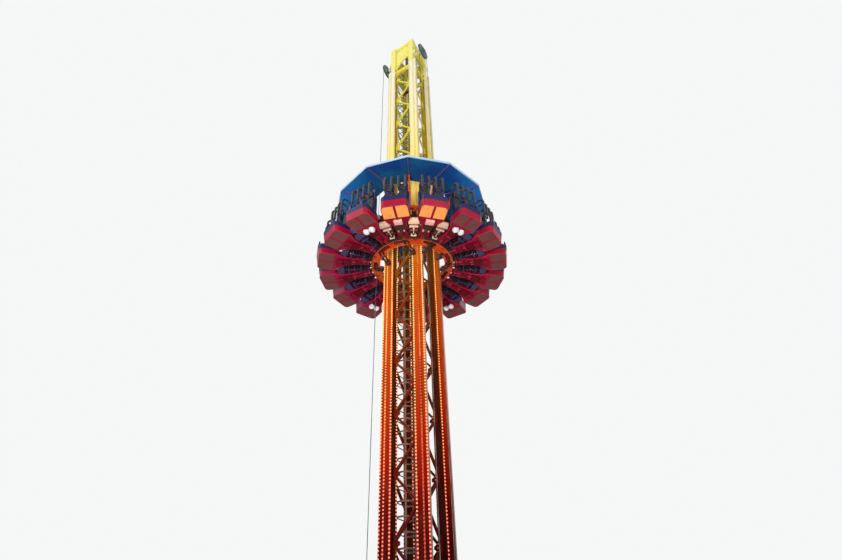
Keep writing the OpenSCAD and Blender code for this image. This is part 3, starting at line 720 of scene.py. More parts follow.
# Ladder: clip bolts on its wall brackets, and the strap joints of the cage.
ladder = {"x": -0.385, "y": -0.06, "strapX": -0.238, "hoopFlat": 0.2415, "firstHoop": 2.727, "rung": 0.321,
          "firstClip": 1.192, "clipPitch": 1.45, "clips": (-0.300, -0.279, 0.160, 0.300)}
clips = spread(addBolt(0.011, 0.009, 0.003),
               [moved(ladder["x"], y, ladder["firstClip"]) for y in ladder["clips"]])
keep(inRow(clips, 15, (0, 0, ladder["clipPitch"])), "ladderClips", "tower", "galvanised", "zincBolt", 30)
reach = ladder["hoopFlat"] + 0.0005
strapPlaces = [standing((ladder["strapX"] + reach * math.cos(a), ladder["y"] + reach * math.sin(a),
                         ladder["firstHoop"] + 0.02), (math.cos(a), math.sin(a), 0))
               for a in (math.radians(-60), math.radians(60))]
keep(inRow(spread(addBolt(0.009, 0.007), strapPlaces), 55, (0, 0, ladder["rung"])), "cageBolts", "tower",
     "galvanised", "zincBolt", 30)
print("tower fasteners made")

# Head: end plates on the beams, bearing caps, axle nuts and the inner rope rollers.
head = {"levels": (21.905, 23.67), "beam": 0.18, "inset": 0.47, "axle": 22.85, "axleY": -0.3, "axleOut": 0.985}


def beamEnds():
    plate = softened(addBlock((-0.011, -0.068, 0), (0.001, 0.068, head["beam"] + 0.012)), 0.003)
    bolts = spread(addBolt(0.014, 0.011, 0.003),
                   [standing((-0.011, y, z), (-1, 0, 0)) for y in (-0.055, 0.055) for z in (0.025, 0.096, 0.167)])
    one = joined([plate, bolts])
    places = []
    for quarter in range(4):
        for level in head["levels"]:
            for end in (0, 180):
                places.append(turned(90 * quarter) @ moved(0, -head["inset"], level - 0.014) @ turned(end)
                              @ moved(0.325, 0, 0))
    return spread(one, places)


keep(beamEnds(), "beamEndPlates", "tower", "tower_paint", None, 30)

# Head plates: a turned edge round each arch, raised ribs above it and bolts along the posts.
arch = {"x": 0.475, "z": 22.045, "radius": 0.80, "ribs": (0.92, 1.04, 1.16), "half": 0.318, "low": 22.15,
        "face": -0.477, "flange": 0.055, "thick": 0.010, "bolts": 9, "boltX": 0.300, "boltLow": (22.20, 22.90),
        "boltHigh": 23.62}


def archEdge():
    half = arch["half"]
    band = addBand((arch["x"], -head["inset"], arch["z"]), arch["radius"] - 0.001, arch["flange"], 120)
    trimmed(band, [((-half, 0, 0), (-1, 0, 0)), ((half, 0, 0), (1, 0, 0)), ((0, 0, arch["low"]), (0, 0, -1))])
    applied(band, "SOLIDIFY", thickness=arch["thick"], offset=-1)
    return softened(band, 0.002)


def archRibs():
    made = []
    for radius in arch["ribs"]:
        points = []
        for k in range(13):
            x = -arch["half"] + 0.010 + k * (2 * arch["half"] - 0.020) / 12
            points.append((x, arch["face"], arch["z"] + math.sqrt(radius ** 2 - (x - arch["x"]) ** 2)))
        made.append(addTube(points, 0.013, 8))
    for side, low in zip((-1, 1), arch["boltLow"]):
        step = (arch["boltHigh"] - low) / arch["bolts"]
        made.append(spread(addBolt(0.012, 0.010, 0.003), [
            standing((side * arch["boltX"], arch["face"], low + step * (k + 0.5)), (0, -1, 0))
            for k in range(arch["bolts"])]))
    return joined(made)


keep(spread(joined([archEdge(), archRibs()]), [turned(90 * quarter) for quarter in range(4)]), "headPlateRibs",
     "tower", "tower_paint", None, 40)


# Inside the head, on the lower front beam: a switch cabinet with its row of feelers.
cabinet = {"left": 0.110, "right": 0.255, "front": -0.445, "back": -0.290, "low": 22.086, "high": 22.840,
           "feelers": 5, "feelerX": 0.280, "firstFeeler": 22.20, "feelerPitch": 0.13}


def switchCabinet():
    left, right, front, low, high = (cabinet[k] for k in ("left", "right", "front", "low", "high"))
    box = addBlock((left, front, low), (right, cabinet["back"], high), 0.010, 2)
    door = addBlock((left + 0.010, front - 0.007, low + 0.044), (right - 0.010, front + 0.002, high - 0.030), 0.003)
    hinges = [addDrum((left + 0.012, front - 0.007, z), 0.008, 0.06, "Z", 12, 0.002) for z in (22.22, 22.72)]
    lid = addBlock((left - 0.010, front - 0.010, high - 0.004), (right + 0.010, -0.280, high + 0.012), 0.004)
    glands = [addDrum((x, -0.37, high + 0.032), 0.014, 0.044, "Z", 16, 0.003) for x in (0.14, 0.18, 0.22)]
    return joined([box, door, lid] + hinges + glands)


def switchFeelers():
    made = [addBlock((0.268, -0.462, cabinet["low"]), (0.292, -0.432, 22.800), 0.003)]
    for k in range(cabinet["feelers"]):
        level = cabinet["firstFeeler"] + cabinet["feelerPitch"] * k
        made.append(addDrum((cabinet["feelerX"], -0.470, level), 0.026, 0.022, "Y", 20, 0.004))
        made.append(addDrum((cabinet["feelerX"], -0.486, level), 0.012, 0.014, "Y", 12, 0.003))
    return joined(made)


keep(switchCabinet(), "switchCabinet", "tower", "bogie_paint", "cabinetDark", 30)
keep(switchFeelers(), "switchFeelers", "tower", "galvanised", "lampWhite", 30)


def bearingCaps():
    made = []
    for side in (-1, 1):
        made.append(addDrum((side * 0.641, head["axleY"], head["axle"]), 0.108, 0.022, "X", 40, 0.003))
        made.append(addDrum((side * 0.806, head["axleY"], head["axle"]), 0.070, 0.008, "X", 40, 0.002))
        made.append(spread(addBolt(0.010, 0.008, 0.002), boltCircle(side * 0.652, 0.096, side)))
    return joined(made)


keep(bearingCaps(), "bearingCaps", "tower", "tower_paint", None, 30)
for side, body in ((-1, "left_sheave"), (1, "right_sheave")):
    tip = standing((side * (head["axleOut"] - 0.004), head["axleY"], head["axle"]), (side, 0, 0))
    nut = spread(addBolt(0.030, 0.022, 0.005), [tip])
    hub = addDrum((side * 0.977, head["axleY"], head["axle"]), 0.050, 0.006, "X", 32, 0.002)
    keys = spread(addBolt(0.006, 0.005), boltCircle(side * 0.9745, 0.046, side))
    keep(joined([nut, hub, keys]), "axleNut" + ("Left" if side < 0 else "Right"), body, "sheave_paint",
         "zincBolt", 30)


def innerRollers():
    made = [softened(addBlock((-0.325, -0.045, 21.06), (0.325, 0.045, 21.12)), 0.006)]
    for x in (-0.13, 0.05):
        made.append(addDrum((x, -0.075, 21.18), 0.085, 0.05, "Y", 36, 0.008, 2))
        made.append(addDrum((x, -0.075, 21.18), 0.030, 0.075, "Y", 20, 0.004))
        made.append(softened(addBlock((x - 0.028, -0.042, 21.10), (x + 0.028, -0.028, 21.22)), 0.004))
    return joined(made)


keep(innerRollers(), "innerRollers", "tower", "bogie_paint", None, 30)

# Foot: anchor nuts with washers and bolt ends, and the foot sheaves' bolts.
anchors = {"outer": 1.0, "inner": 0.5, "plate": 0.04}
foot = {"x": 0.89, "hub": 0.110, "y": -0.3, "z": 0.6}


def anchorNuts():
    washer = addDrum((0, 0, 0.004), 0.042, 0.008, "Z", 24, 0.001)
    nut = addDrum((0, 0, 0.021), 0.029, 0.026, "Z", 6, 0.003)
    stud = addDrum((0, 0, 0.035), 0.0165, 0.070, "Z", 16, 0.002)
    one = joined([washer, nut, stud])
    o, i, top = anchors["outer"], anchors["inner"], anchors["plate"]
    spots = []
    for sx, sy in corners:
        spots += [(sx * o, sy * o), (sx * i, sy * o), (sx * o, sy * i)]
    return spread(one, [moved(x, y, top) @ turned(17 * k) for k, (x, y) in enumerate(spots)])


keep(anchorNuts(), "anchorNuts", "tower", "galvanised", "zincBolt", 30)
footBolts = spread(addBolt(0.020, 0.014, 0.004), [
    standing((side * (foot["x"] + out * foot["hub"]), foot["y"], foot["z"]), (side * out, 0, 0))
    for side in (-1, 1) for out in (-1, 1)])
keep(footBolts, "footAxleNuts", "tower", "sheave_paint", "zincBolt", 30)
print("head and foot dressed")

# Petal shells: they rise towards the ring; a rounded edge along the underside, and a mauve lip on top.
petal = {"ring": 1.232, "tub": 2.35, "root": 0.195, "waist": 0.130, "flare": 0.357, "waistAt": 0.44,
         "rise": 11.5, "foot": (2.354, 0, 11.603), "wall": 0.18, "low": 11.6, "half": 0.36, "tubLong": 0.45,
         "corner": 0.11}
alongPetal = moved(*petal["foot"]) @ Matrix.Rotation(math.radians(petal["rise"]), 4, "Y")


def petalHalf(r):
    t = (r - petal["ring"]) / (petal["tub"] - petal["ring"])
    if t < petal["waistAt"]:
        return petal["waist"] + (petal["root"] - petal["waist"]) * (1 - t / petal["waistAt"]) ** 2
    flare = min(1, (t - petal["waistAt"]) / (0.94 - petal["waistAt"]))
    return petal["waist"] + (petal["flare"] - petal["waist"]) * flare ** 2


def petalSide(side, inset, level, steps=16):
    first = petal["ring"] + 0.016
    radii = [first + k * (petal["tub"] - first) / steps for k in range(steps + 1)]
    return [alongPetal @ Vector((r - petal["tub"], side * (petalHalf(r) - inset), level)) for r in radii]


def tubOutline(inset, level):
    far = petal["tub"] + petal["tubLong"] - inset
    half = petal["half"] - inset
    r = petal["corner"] - inset
    points = []
    for side, start in ((-1, -90), (1, 0)):
        for k in range(7):
            a = math.radians(start + 15 * k)
            points.append((far - r + r * math.cos(a), side * (half - r) + r * math.sin(a), level))
    return points


edgeLine = (petalSide(-1, 0.003, 0.004) + tubOutline(0.003, petal["low"] + 0.004)
            + petalSide(1, 0.003, 0.004)[::-1])
# The rounded edge is painted lighter pink as a highlight.
keep(spread(addTube(edgeLine, 0.012, 8), units), "petalEdges", "gondola", "shell_red", "shellEdge", 50)
lips = [addTube(petalSide(side, 0.007, petal["wall"]), 0.011, 8) for side in (-1, 1)]
keep(spread(joined(lips), units), "petalLips", "gondola", "rib_mauve", "lipMauve", 50)


# Pans: a recessed cover with a turned frame and screws under each seat.
pan = {"near": 2.385, "far": 2.745, "side": 0.052, "out": 0.318, "low": 11.5935, "high": 11.598}


def panCovers():
    low = pan["low"]
    plate = addBlock((pan["near"], pan["side"], low), (pan["far"], pan["out"], pan["high"]))
    selectFaces(plate, lambda face: face.normal.z < -0.9)
    bpy.ops.mesh.inset(thickness=0.022)
    bpy.ops.transform.translate(value=(0, 0, 0.0028))
    bpy.ops.mesh.inset(thickness=0.004)
    doneEditing()
    softened(plate, 0.0012)
    middle = (pan["near"] + pan["far"]) / 2
    screws = spread(addBolt(0.006, 0.003), [
        standing((x, y, low), (0, 0, -1)) for x in (pan["near"] + 0.011, middle, pan["far"] - 0.011)
        for y in (pan["side"] + 0.011, pan["out"] - 0.011)])
    rib = softened(addBlock((pan["near"] + 0.025, 0.181, low), (pan["far"] - 0.025, 0.189, low + 0.004)), 0.001)
    one = joined([plate, screws, rib])
    twin = one.copy()
    twin.data = one.data.copy()
    bpy.context.collection.objects.link(twin)
    twin.data.transform(Matrix.Scale(-1, 4, (0, 1, 0)))
    twin.data.flip_normals()
    return spread(joined([one, twin]), units)


keep(panCovers(), "panCovers", "gondola", "pan_grey", None, 30)

# Between the units: a stack of crossbars on two rails, the lock that holds the restraints down.
# Each bar has its radius, thickness and half width, and each tone its lower and upper level.
stack = {"railHalf": 0.050, "railLow": 11.842, "railHigh": 11.882, "start": 1.234, "end": 2.335,
         "levels": {"pale": (11.655, 11.730), "middle": (11.690, 11.790), "dark": (11.700, 11.800)},
         "pale": ((2.060, 0.060, 0.150), (1.905, 0.040, 0.120), (1.545, 0.034, 0.075)),
         "middle": ((1.975, 0.034, 0.165), (1.725, 0.036, 0.105), (1.385, 0.030, 0.062)),
         "dark": ((2.165, 0.040, 0.118), (1.815, 0.034, 0.170), (1.635, 0.034, 0.140), (1.465, 0.034, 0.098))}
lampTurns = (-90, -22.5, 90, 157.5)
plainUnits = [turned(22.5 * k) for k in range(16) if (22.5 * k + 180) % 360 - 180 not in lampTurns]


def stackBars(tone):
    low, high = stack["levels"][tone]
    bars = []
    for r, thick, half in stack[tone]:
        bars.append(addBlock((r - thick / 2, -half, low), (r + thick / 2, half, high), 0.006, 2))
        for side in (-1, 1):
            bars.append(addDrum((r, side * (half - 0.018), low - 0.003), 0.012, 0.012, "Z", 6, 0.002))
            rail = side * stack["railHalf"]
            bars.append(addBlock((r - 0.014, rail - 0.012, high - 0.004),
                                 (r + 0.014, rail + 0.012, stack["railLow"] + 0.004), 0.002))
    return bars


# A tapered deck plate closes each gap above its lock; its dark navy is painted shade in the gap.
def lockDeck():
    plate = addBlock((1.262, -0.250, 11.885), (2.150, 0.250, 11.893))
    selectFaces(plate, lambda face: face.normal.x < -0.9)
    bpy.ops.transform.resize(value=(1, 0.42, 1))
    doneEditing()
    softened(plate, 0.002)
    straps = [addBlock((r - 0.016, -half, 11.879), (r + 0.016, half, 11.887), 0.002)
              for r, half in ((1.320, 0.095), (1.760, 0.155), (2.110, 0.200))]
    return [plate] + straps


def stackRails():
    rails = [addBlock((stack["start"], side * stack["railHalf"] - 0.014, stack["railLow"]),
                      (stack["end"], side * stack["railHalf"] + 0.014, stack["railHigh"]), 0.004)
             for side in (-1, 1)]
    flange = addBlock((1.2335, -0.082, 11.852), (1.246, 0.082, 11.926), 0.003)
    bolts = spread(addBolt(0.011, 0.010, 0.003),
                   [standing((1.246, y, z), (1, 0, 0)) for y in (-0.072, 0.072) for z in (11.870, 11.908)])
    tray = addBlock((1.290, -0.034, 11.866), (2.300, 0.034, 11.874), 0.002)
    ties = [addBlock((x - 0.010, -0.064, 11.880), (x + 0.010, 0.064, 11.890), 0.003) for x in (1.42, 1.75, 2.10)]
    return rails + [flange, bolts, tray] + ties


def paleBlocks():
    box = addBlock((2.030, -0.150, 11.640), (2.215, 0.150, 11.720))
    selectFaces(box, lambda face: face.normal.x > 0.9)
    bpy.ops.transform.resize(value=(1, 0.72, 1), center_override=(2.215, 0, 11.68))
    doneEditing()
    softened(box, 0.010, 2)
    screws = spread(addBolt(0.008, 0.006), [standing((x, y, 11.640), (0, 0, -1))
                                            for x, y in ((2.05, 0.13), (2.05, -0.13), (2.19, 0.09), (2.19, -0.09))])
    return [box, screws]


cylinder = {"x": 1.500, "z": 11.700, "radius": 0.030, "long": 0.20}


def lockCylinder():
    x, z = cylinder["x"], cylinder["z"]
    barrel = addDrum((x, 0, z), cylinder["radius"], cylinder["long"], "X", 24, 0.004)
    saddle = addBlock((x - 0.030, -0.014, z + 0.022), (x + 0.030, 0.014, stack["railLow"] + 0.004), 0.004)
    collars = [addDrum((x + off, 0, z), 0.036, 0.022, "X", 24, 0.003) for off in (-0.088, 0.090)]
    ports = [addDrum((x + off, 0, z - 0.032), 0.009, 0.020, "Z", 10, 0.002) for off in (-0.07, 0.07)]
    return [barrel, saddle] + collars + ports


def lockRod():
    z = cylinder["z"]
    return [addDrum((cylinder["x"] + 0.200, 0, z), 0.012, 0.22, "X", 16, 0.001),
            addBlock((1.795, -0.024, z - 0.024), (1.850, 0.024, z + 0.024), 0.006, 2)]


def hoses():
    made = []
    for side, reach in ((-1, 1.46), (1, 1.60)):
        line = []
        for k in range(9):
            t = k / 8
            line.append((1.385 + (reach - 1.385) * t, side * (0.075 * math.sin(math.pi * t) + 0.012 * t),
                         11.778 - 0.085 * math.sin(math.pi * t * 0.62)))
        made.append(addTube(line, 0.0085, 8))
    for side in (-1, 1):
        line = []
        for k in range(11):
            t = k / 10
            line.append((1.300 + 0.62 * t, side * (0.030 + 0.070 * math.sin(math.pi * t * 0.8)),
                         11.795 + 0.035 * math.sin(math.pi * t) + 0.03 * t))
        made.append(addTube(line, 0.007, 8))
    return made


def ringPipes():
    clip = [addBlock((1.278, -0.012, 11.772), (1.404, 0.012, 11.790), 0.003),
            addBlock((1.332, -0.009, 11.786), (1.350, 0.009, 11.858), 0.002)]
    return joined([addTorus(1.300, 11.795, 0.012, 10), addTorus(1.380, 11.778, 0.014, 10),
                   spread(joined(clip), gaps)])


# The lock parts carry painted warm light on the units facing the view.
for label, parts, slot, finish, smooth in (
        ("lockPaleBars", stackBars("pale") + paleBlocks(), "rib_mauve", "lockPale", 30),
        ("lockMiddleBars", stackBars("middle"), "bogie_paint", "lockMiddle", 30),
        ("lockDarkBars", stackBars("dark") + lockCylinder(), "arm_paint", "lockDark", 30),
        ("lockDecks", lockDeck(), "bogie_paint", "deckPaint", 30),
        ("lockRails", stackRails(), "bogie_paint", None, 30),
        ("lockRods", lockRod(), "rim_grey", "lockPale", 40),
        ("lockHoses", hoses(), "roller_rubber", None, 60)):
    keep(spread(joined(parts), gaps), label, "gondola", slot, finish, smooth)
keep(ringPipes(), "ringPipes", "gondola", "arm_paint", "lockDark", 60)
print("locks made")


# Under each petal: a stiffening spine with bosses and an actuator; under those without lamps also a box and two
# brackets.
def petalSpines():
    spine = addBlock((-1.085, -0.035, -0.020), (-0.050, 0.035, 0.002), 0.008, 2)
    selectFaces(spine, lambda face: face.normal.z < -0.9)
    bpy.ops.mesh.inset(thickness=0.010)
    bpy.ops.transform.translate(value=(0, 0, 0.006))
    doneEditing()
    bosses = [addDrum((x, 0, -0.014), size, 0.030, "Z", 28, 0.005, 2)
              for x, size in ((-1.02, 0.055), (-0.63, 0.040))]
    bolts = spread(addBolt(0.011, 0.009, 0.003), [
        standing((x, y, 0.0), (0, 0, -1)) for x in (-0.93, -0.75, -0.49) for y in (-0.055, 0.055)])
    return [spine, bolts] + bosses


def petalBoxes():
    box = addBlock((-0.250, -0.115, -0.072), (-0.075, 0.115, 0.002), 0.010, 2)
    selectFaces(box, lambda face: face.normal.z < -0.9)
    bpy.ops.mesh.inset(thickness=0.012)
    bpy.ops.transform.translate(value=(0, 0, -0.004))
    doneEditing()
    screws = spread(addBolt(0.007, 0.005), [
        standing((x, y, -0.072), (0, 0, -1)) for x in (-0.238, -0.087) for y in (-0.105, 0.105)])
    small = [addBlock((-0.660, y - 0.020, -0.045), (-0.600, y + 0.020, 0.002), 0.005) for y in (-0.075, 0.075)]
    return [box, screws] + small


def petalActuators():
    case = addBlock((-0.520, -0.120, -0.062), (-0.275, 0.120, 0.002), 0.012, 2)
    fins = [addBlock((-0.505 + 0.044 * k, -0.112, -0.074), (-0.489 + 0.044 * k, 0.112, -0.058), 0.003)
            for k in range(6)]
    drum = addDrum((-0.735, 0.0, -0.045), 0.038, 0.19, "X", 24, 0.006)
    cap = addDrum((-0.845, 0.0, -0.045), 0.024, 0.04, "X", 20, 0.004)
    strap = [addBlock((x - 0.010, -0.048, -0.060), (x + 0.010, 0.048, 0.002), 0.004) for x in (-0.79, -0.68)]
    return [case, drum, cap] + fins + strap


# The spines take the lighter petal-edge paint, a painted highlight; the boxes and actuators carry painted warm light
# on the units facing the view.
for label, make, slot, finish, places in (
        ("petalSpines", petalSpines, "shell_red", "shellEdge", units),
        ("petalBoxes", petalBoxes, "rib_mauve", "boxRed", plainUnits),
        ("petalActuators", petalActuators, "arm_paint", "actuatorRed", units)):
    keep(spread(joined(make()), [place @ alongPetal for place in places]), label, "gondola", slot, finish, 30)


def armPlates():
    plate = addBlock((1.2335, -0.085, 11.852), (1.246, 0.085, 11.928), 0.003)
    bolts = spread(addBolt(0.012, 0.010, 0.003),
                   [standing((1.246, y, z), (1, 0, 0)) for y in (-0.065, 0.065) for z in (11.870, 11.910)])
    return spread(joined([plate, bolts]), units)


keep(armPlates(), "armPlates", "gondola", "arm_paint", None, 30)


# White domed work lamps, two side by side under four of the units.
lampHead = {"x": -0.160, "y": 0.092, "size": (0.21, 0.172, 0.17), "top": -0.024, "mouth": -0.095, "lens": 0.056}


def addLamps():
    x, y = lampHead["x"], lampHead["y"]
    bowl = addBall(32, 16, 0.5, (x, y, -0.040), lampHead["size"])
    trimmed(bowl, [((0, 0, lampHead["top"]), (0, 0, 1)), ((0, 0, lampHead["mouth"]), (0, 0, -1))], True)
    selectFaces(bowl, lambda face: face.normal.z < -0.95)
    bpy.ops.mesh.inset(thickness=0.012)
    bpy.ops.transform.translate(value=(0, 0, 0.010))
    doneEditing()
    foot = addDrum((x, y, -0.012), 0.060, 0.030, "Z", 32, 0.004)
    heads = spread(joined([bowl, foot]), [moved(0, 0, 0), moved(0, -2 * y, 0)])
    yoke = addBlock((x - 0.022, -y, -0.034), (x + 0.022, y, -0.014), 0.005, 2)
    glass = addDrum((x, y, -0.088), lampHead["lens"], 0.012, "Z", 32, 0.004, 2)
    glass = spread(glass, [moved(0, 0, 0), moved(0, -2 * y, 0)])
    places = [turned(a) @ alongPetal for a in lampTurns]
    keep(spread(joined([heads, yoke]), places), "lampBodies", "gondola", "rim_grey", "lampWhite", 40)
    keep(spread(glass, places), "lampLenses", "gondola", "rim_grey", "lampGlass", 40)


addLamps()
print("units dressed")

# Carriage ring: rolled edges, raised borders round the openings, and bolts under the posts.
ring = {"out": 1.232, "in": 0.98, "low": 11.85, "high": 11.93, "plate": 11.88, "mid": 1.106, "slotHalf": 0.075,
        "cover": (0.102, 0.270, 0.075),
        "slots": (60, 15, -30, -75, 120, 165, 210, 255), "posts": (90, 37.5, -7.5, -52.5, -90, -127.5, 187.5, 142.5)}


def ringEdges():
    return joined([addTorus(radius, level, 0.0105, 8) for radius, level in (
        (ring["out"] - 0.008, ring["low"]), (ring["in"] + 0.008, ring["low"]), (ring["out"] - 0.008, ring["high"]))])


def slotBorders():
    middleR, half = ring["mid"], ring["slotHalf"]
    made = []
    for middle in ring["slots"]:
        points = []
        for way in (1, -1):
            for k in range(9):
                a = math.radians(middle + way * (2 * k - 8))
                r = middleR + way * half
                points.append((r * math.cos(a), r * math.sin(a), ring["plate"]))
            a = math.radians(middle + way * 8)
            for k in range(1, 8):
                b = a + math.radians(22.5 * k + (0 if way > 0 else 180))
                points.append((middleR * math.cos(a) + half * math.cos(b),
                               middleR * math.sin(a) + half * math.sin(b), ring["plate"]))
        made.append(addTube(points, 0.010, closed=True))
    return joined(made)


# A shallow domed cover closes each opening of the ring from above; its dark red is painted shade inside the opening.
def slotCovers():
    dome = trimmed(addBall(32, 16, 1, size=ring["cover"]), [((0, 0, 0), (0, 0, -1))])
    applied(dome, "SOLIDIFY", thickness=0.005, offset=-1)
    dome.data.transform(moved(ring["mid"], 0, ring["plate"] + 0.0155))
    return spread(dome, [turned(a) for a in ring["slots"]])


def ringBolts():
    places = []
    for a in ring["posts"]:
        for x, y in ((1.146, 0.026), (1.146, -0.026), (1.194, 0.026), (1.194, -0.026)):
            places.append(turned(a) @ standing((x, y, ring["plate"]), (0, 0, -1)))
    for k in range(16):
        for shift in (-4.6, 4.6):
            places.append(turned(22.5 * k + 11.25 + shift) @ standing((ring["out"], 0, 11.89), (1, 0, 0)))
    return spread(addBolt(0.012, 0.010, 0.003), places)


# The edges and borders are painted brighter orange as a highlight.
keep(joined([ringEdges(), slotBorders()]), "ringEdges", "gondola", "ring_paint", "ringEdge", 60)
keep(slotCovers(), "slotCovers", "gondola", "ring_paint", "slotDark", 50)
keep(ringBolts(), "ringBolts", "gondola", "ring_paint", "slotDark", 30)


# Guide rollers: hub caps and nuts on both sides of every fork.
roller = {"levels": (11.73, 12.95), "sideX": 0.740, "sideY": 0.502, "frontX": 0.4375, "frontY": 0.625, "out": 0.057}


def rollerHubs():
    cap = addDrum((0, 0, 0.004), 0.027, 0.008, "Z", 24, 0.002)
    nut = addDrum((0, 0, 0.013), 0.016, 0.012, "Z", 6, 0.001)
    one = joined([cap, nut])
    places = []
    for level in roller["levels"]:
        for sx, sy in corners:
            for face in (-1, 1):
                out = face * roller["out"]
                places.append(standing((sx * roller["sideX"], sy * roller["sideY"] + out, level), (0, face, 0)))
                places.append(standing((sx * roller["frontX"] + out, sy * roller["frontY"], level), (face, 0, 0)))
    return spread(one, places)


keep(rollerHubs(), "rollerHubs", "gondola", "bogie_paint", "zincBolt", 30)

# Roller guards: a bent plate round the outer side and the underside of every lower roller.
guard = {"radius": 0.084, "thick": 0.006, "half": 0.059, "from": 0.010, "ear": (0.012, 0.086), "earHalf": 0.060}


def rollerGuards():
    shell = addBand((0, 0, 0), guard["radius"] + guard["thick"], 2 * guard["half"], 40)
    trimmed(shell, [((guard["from"], 0, 0), (-1, 0, 0))])
    applied(shell, "SOLIDIFY", thickness=guard["thick"], offset=-1)
    near, far = guard["ear"]
    ears = []
    for side in (-1, 1):
        y = side * (guard["half"] - 0.004)
        ears.append(addBlock((near, y - 0.003, -guard["earHalf"]), (far, y + 0.003, guard["earHalf"]), 0.002))
    level = roller["levels"][0]
    places = []
    for sx, sy in corners:
        places.append(moved(sx * roller["sideX"], sy * roller["sideY"], level) @ turned(0 if sx > 0 else 180))
        places.append(moved(sx * roller["frontX"], sy * roller["frontY"], level) @ turned(90 if sy > 0 else -90))
    return spread(joined([shell] + ears), places)


keep(rollerGuards(), "rollerGuards", "gondola", "bogie_paint", None, 40)
clampBolts = spread(addBolt(0.011, 0.009, 0.003), [
    standing((side * x, face * 0.045, z), (0, face, 0))
    for side in (-1, 1) for face in (-1, 1) for x in (0.868, 0.912) for z in (11.72, 11.77, 11.82)])
keep(clampBolts, "clampBolts", "gondola", "bogie_paint", "zincBolt", 30)
print("carriage dressed")

# Canopy: seam covers with rivets on the twelve ridges, rivets along the rim and a collar trim.
roof = {"edge": 2.447, "opening": 1.27, "edgeTop": 13.98, "openingTop": 14.302, "cover": 0.024, "proud": 0.007,
        "rim": 2.472, "rimLevel": 13.964, "collar": ((14.400, 1.262), (14.318, 1.276))}


def roofLine(r):
    share = (roof["edge"] - r) / (roof["edge"] - roof["opening"])
    return roof["edgeTop"] + (roof["openingTop"] - roof["edgeTop"]) * share


def seamCovers():
    slope = math.atan2(roof["openingTop"] - roof["edgeTop"], roof["edge"] - roof["opening"])
    length = math.hypot(roof["openingTop"] - roof["edgeTop"], roof["edge"] - roof["opening"]) - 0.01
    strip = softened(addBlock((-length / 2, -roof["cover"], -0.004), (length / 2, roof["cover"], roof["proud"])),
                     0.003)
    rivets = []
    for k in range(14):
        for y in (-0.015, 0.015):
            rivets.append(moved(-length / 2 + 0.05 + k * (length - 0.1) / 13, y, roof["proud"]))
    button = addDrum((0, 0, 0.001), 0.006, 0.004, "Z", 8, 0.001)
    one = joined([strip, spread(button, rivets)])
    middle = (roof["edge"] + roof["opening"]) / 2
    one.data.transform(moved(middle, 0, roofLine(middle)) @ Matrix.Rotation(slope, 4, "Y"))
    return spread(one, [turned(30 * k) for k in range(12)])


def rimRivets():
    button = addDrum((0, 0, 0.001), 0.007, 0.005, "Z", 8, 0.001)
    flat = roof["rim"] * math.cos(math.radians(15))
    reach = roof["rim"] * math.sin(math.radians(15))
    places = []
    for k in range(12):
        for n in range(9):
            y = -reach + 0.06 + n * (2 * reach - 0.12) / 8
            places.append(turned(30 * k + 15) @ standing((flat, y, roof["rimLevel"]), (1, 0, 0)))
    return spread(button, places)


def collarTrim():
    return joined([addTube([turned(30 * k) @ Vector((radius, 0, level)) for k in range(12)], 0.010, closed=True)
                   for level, radius in roof["collar"]])


keep(seamCovers(), "seamCovers", "gondola", "canopy_blue", None, 30)
keep(rimRivets(), "rimRivets", "gondola", "rim_grey", None, 30)
keep(collarTrim(), "collarTrim", "gondola", "rim_grey", None, 50)


# Struts: foot plates on the upper ring.
strut = {"near": 1.128, "far": 1.226, "half": 0.048, "low": 13.2, "high": 13.211}


def strutPlates():
    near, far, half, high = strut["near"], strut["far"], strut["half"], strut["high"]
    foot = addBlock((near, -half, strut["low"]), (far, half, high), 0.003)
    bolts = spread(addBolt(0.010, 0.008, 0.003), [
        moved(x, y, high) for x in (near + 0.011, far - 0.010) for y in (0.011 - half, half - 0.011)])
    return spread(joined([foot, bolts]), [turned(30 * k) for k in range(12)])


keep(strutPlates(), "strutPlates", "gondola", "ring_paint", None, 30)
print("canopy dressed")

# Padding. Each kind is swollen once, tufted along its sewn channels, and copied.
pads = {
    "voxel": 0.006,
    "frames": 20,
    "seat": {"pressure": 4.0, "cap": 0.011, "faces": 3200},
    "back": {"pressure": 4.0, "cap": 0.010, "faces": 3000},
    "head": {"pressure": 4.0, "cap": 0.009, "faces": 1800},
    "shoulder": {"pressure": 3.0, "cap": 0.006, "faces": 2200},
}


def swollen(piece, pad, floor=None):
    applied(piece, "REMESH", mode="VOXEL", voxel_size=pads["voxel"])
    before = [v.co.copy() for v in piece.data.vertices]
    pick(piece)
    bpy.ops.object.modifier_add(type="CLOTH")
    cloth = piece.modifiers[-1]
    cloth.settings.use_pressure = True
    cloth.settings.uniform_pressure_force = pad["pressure"]
    cloth.settings.effector_weights.gravity = 0.0
    cloth.point_cache.frame_start = 1
    cloth.point_cache.frame_end = pads["frames"]
    for step in range(1, pads["frames"] + 1):
        bpy.context.scene.frame_set(step)
    bpy.ops.object.modifier_apply(modifier=cloth.name)
    for vertex, old in zip(piece.data.vertices, before):
        move = vertex.co - old
        if move.length > pad["cap"]:
            vertex.co = old + move * (pad["cap"] / move.length)
    bpy.context.scene.frame_set(1)
    if floor is not None:
        axis, level, up = floor
        for vertex in piece.data.vertices:
            if (vertex.co[axis] - level) * up < 0:
                vertex.co[axis] = level
    return piece


def tufted(piece, channels):
    for vertex in piece.data.vertices:
        place = vertex.co.copy()
        for across, at, width, depth, axis, level, low, high, along in channels:
            if low < place[along] < high and (place[axis] - level) > 0:
                vertex.co[axis] -= depth * math.exp(-((place[across] - at) / width) ** 2)
    return piece


def lightened(piece, faces):
    count = len(piece.data.polygons) * 2
    if count > faces:
        applied(piece, "DECIMATE", ratio=faces / count)
    return piece


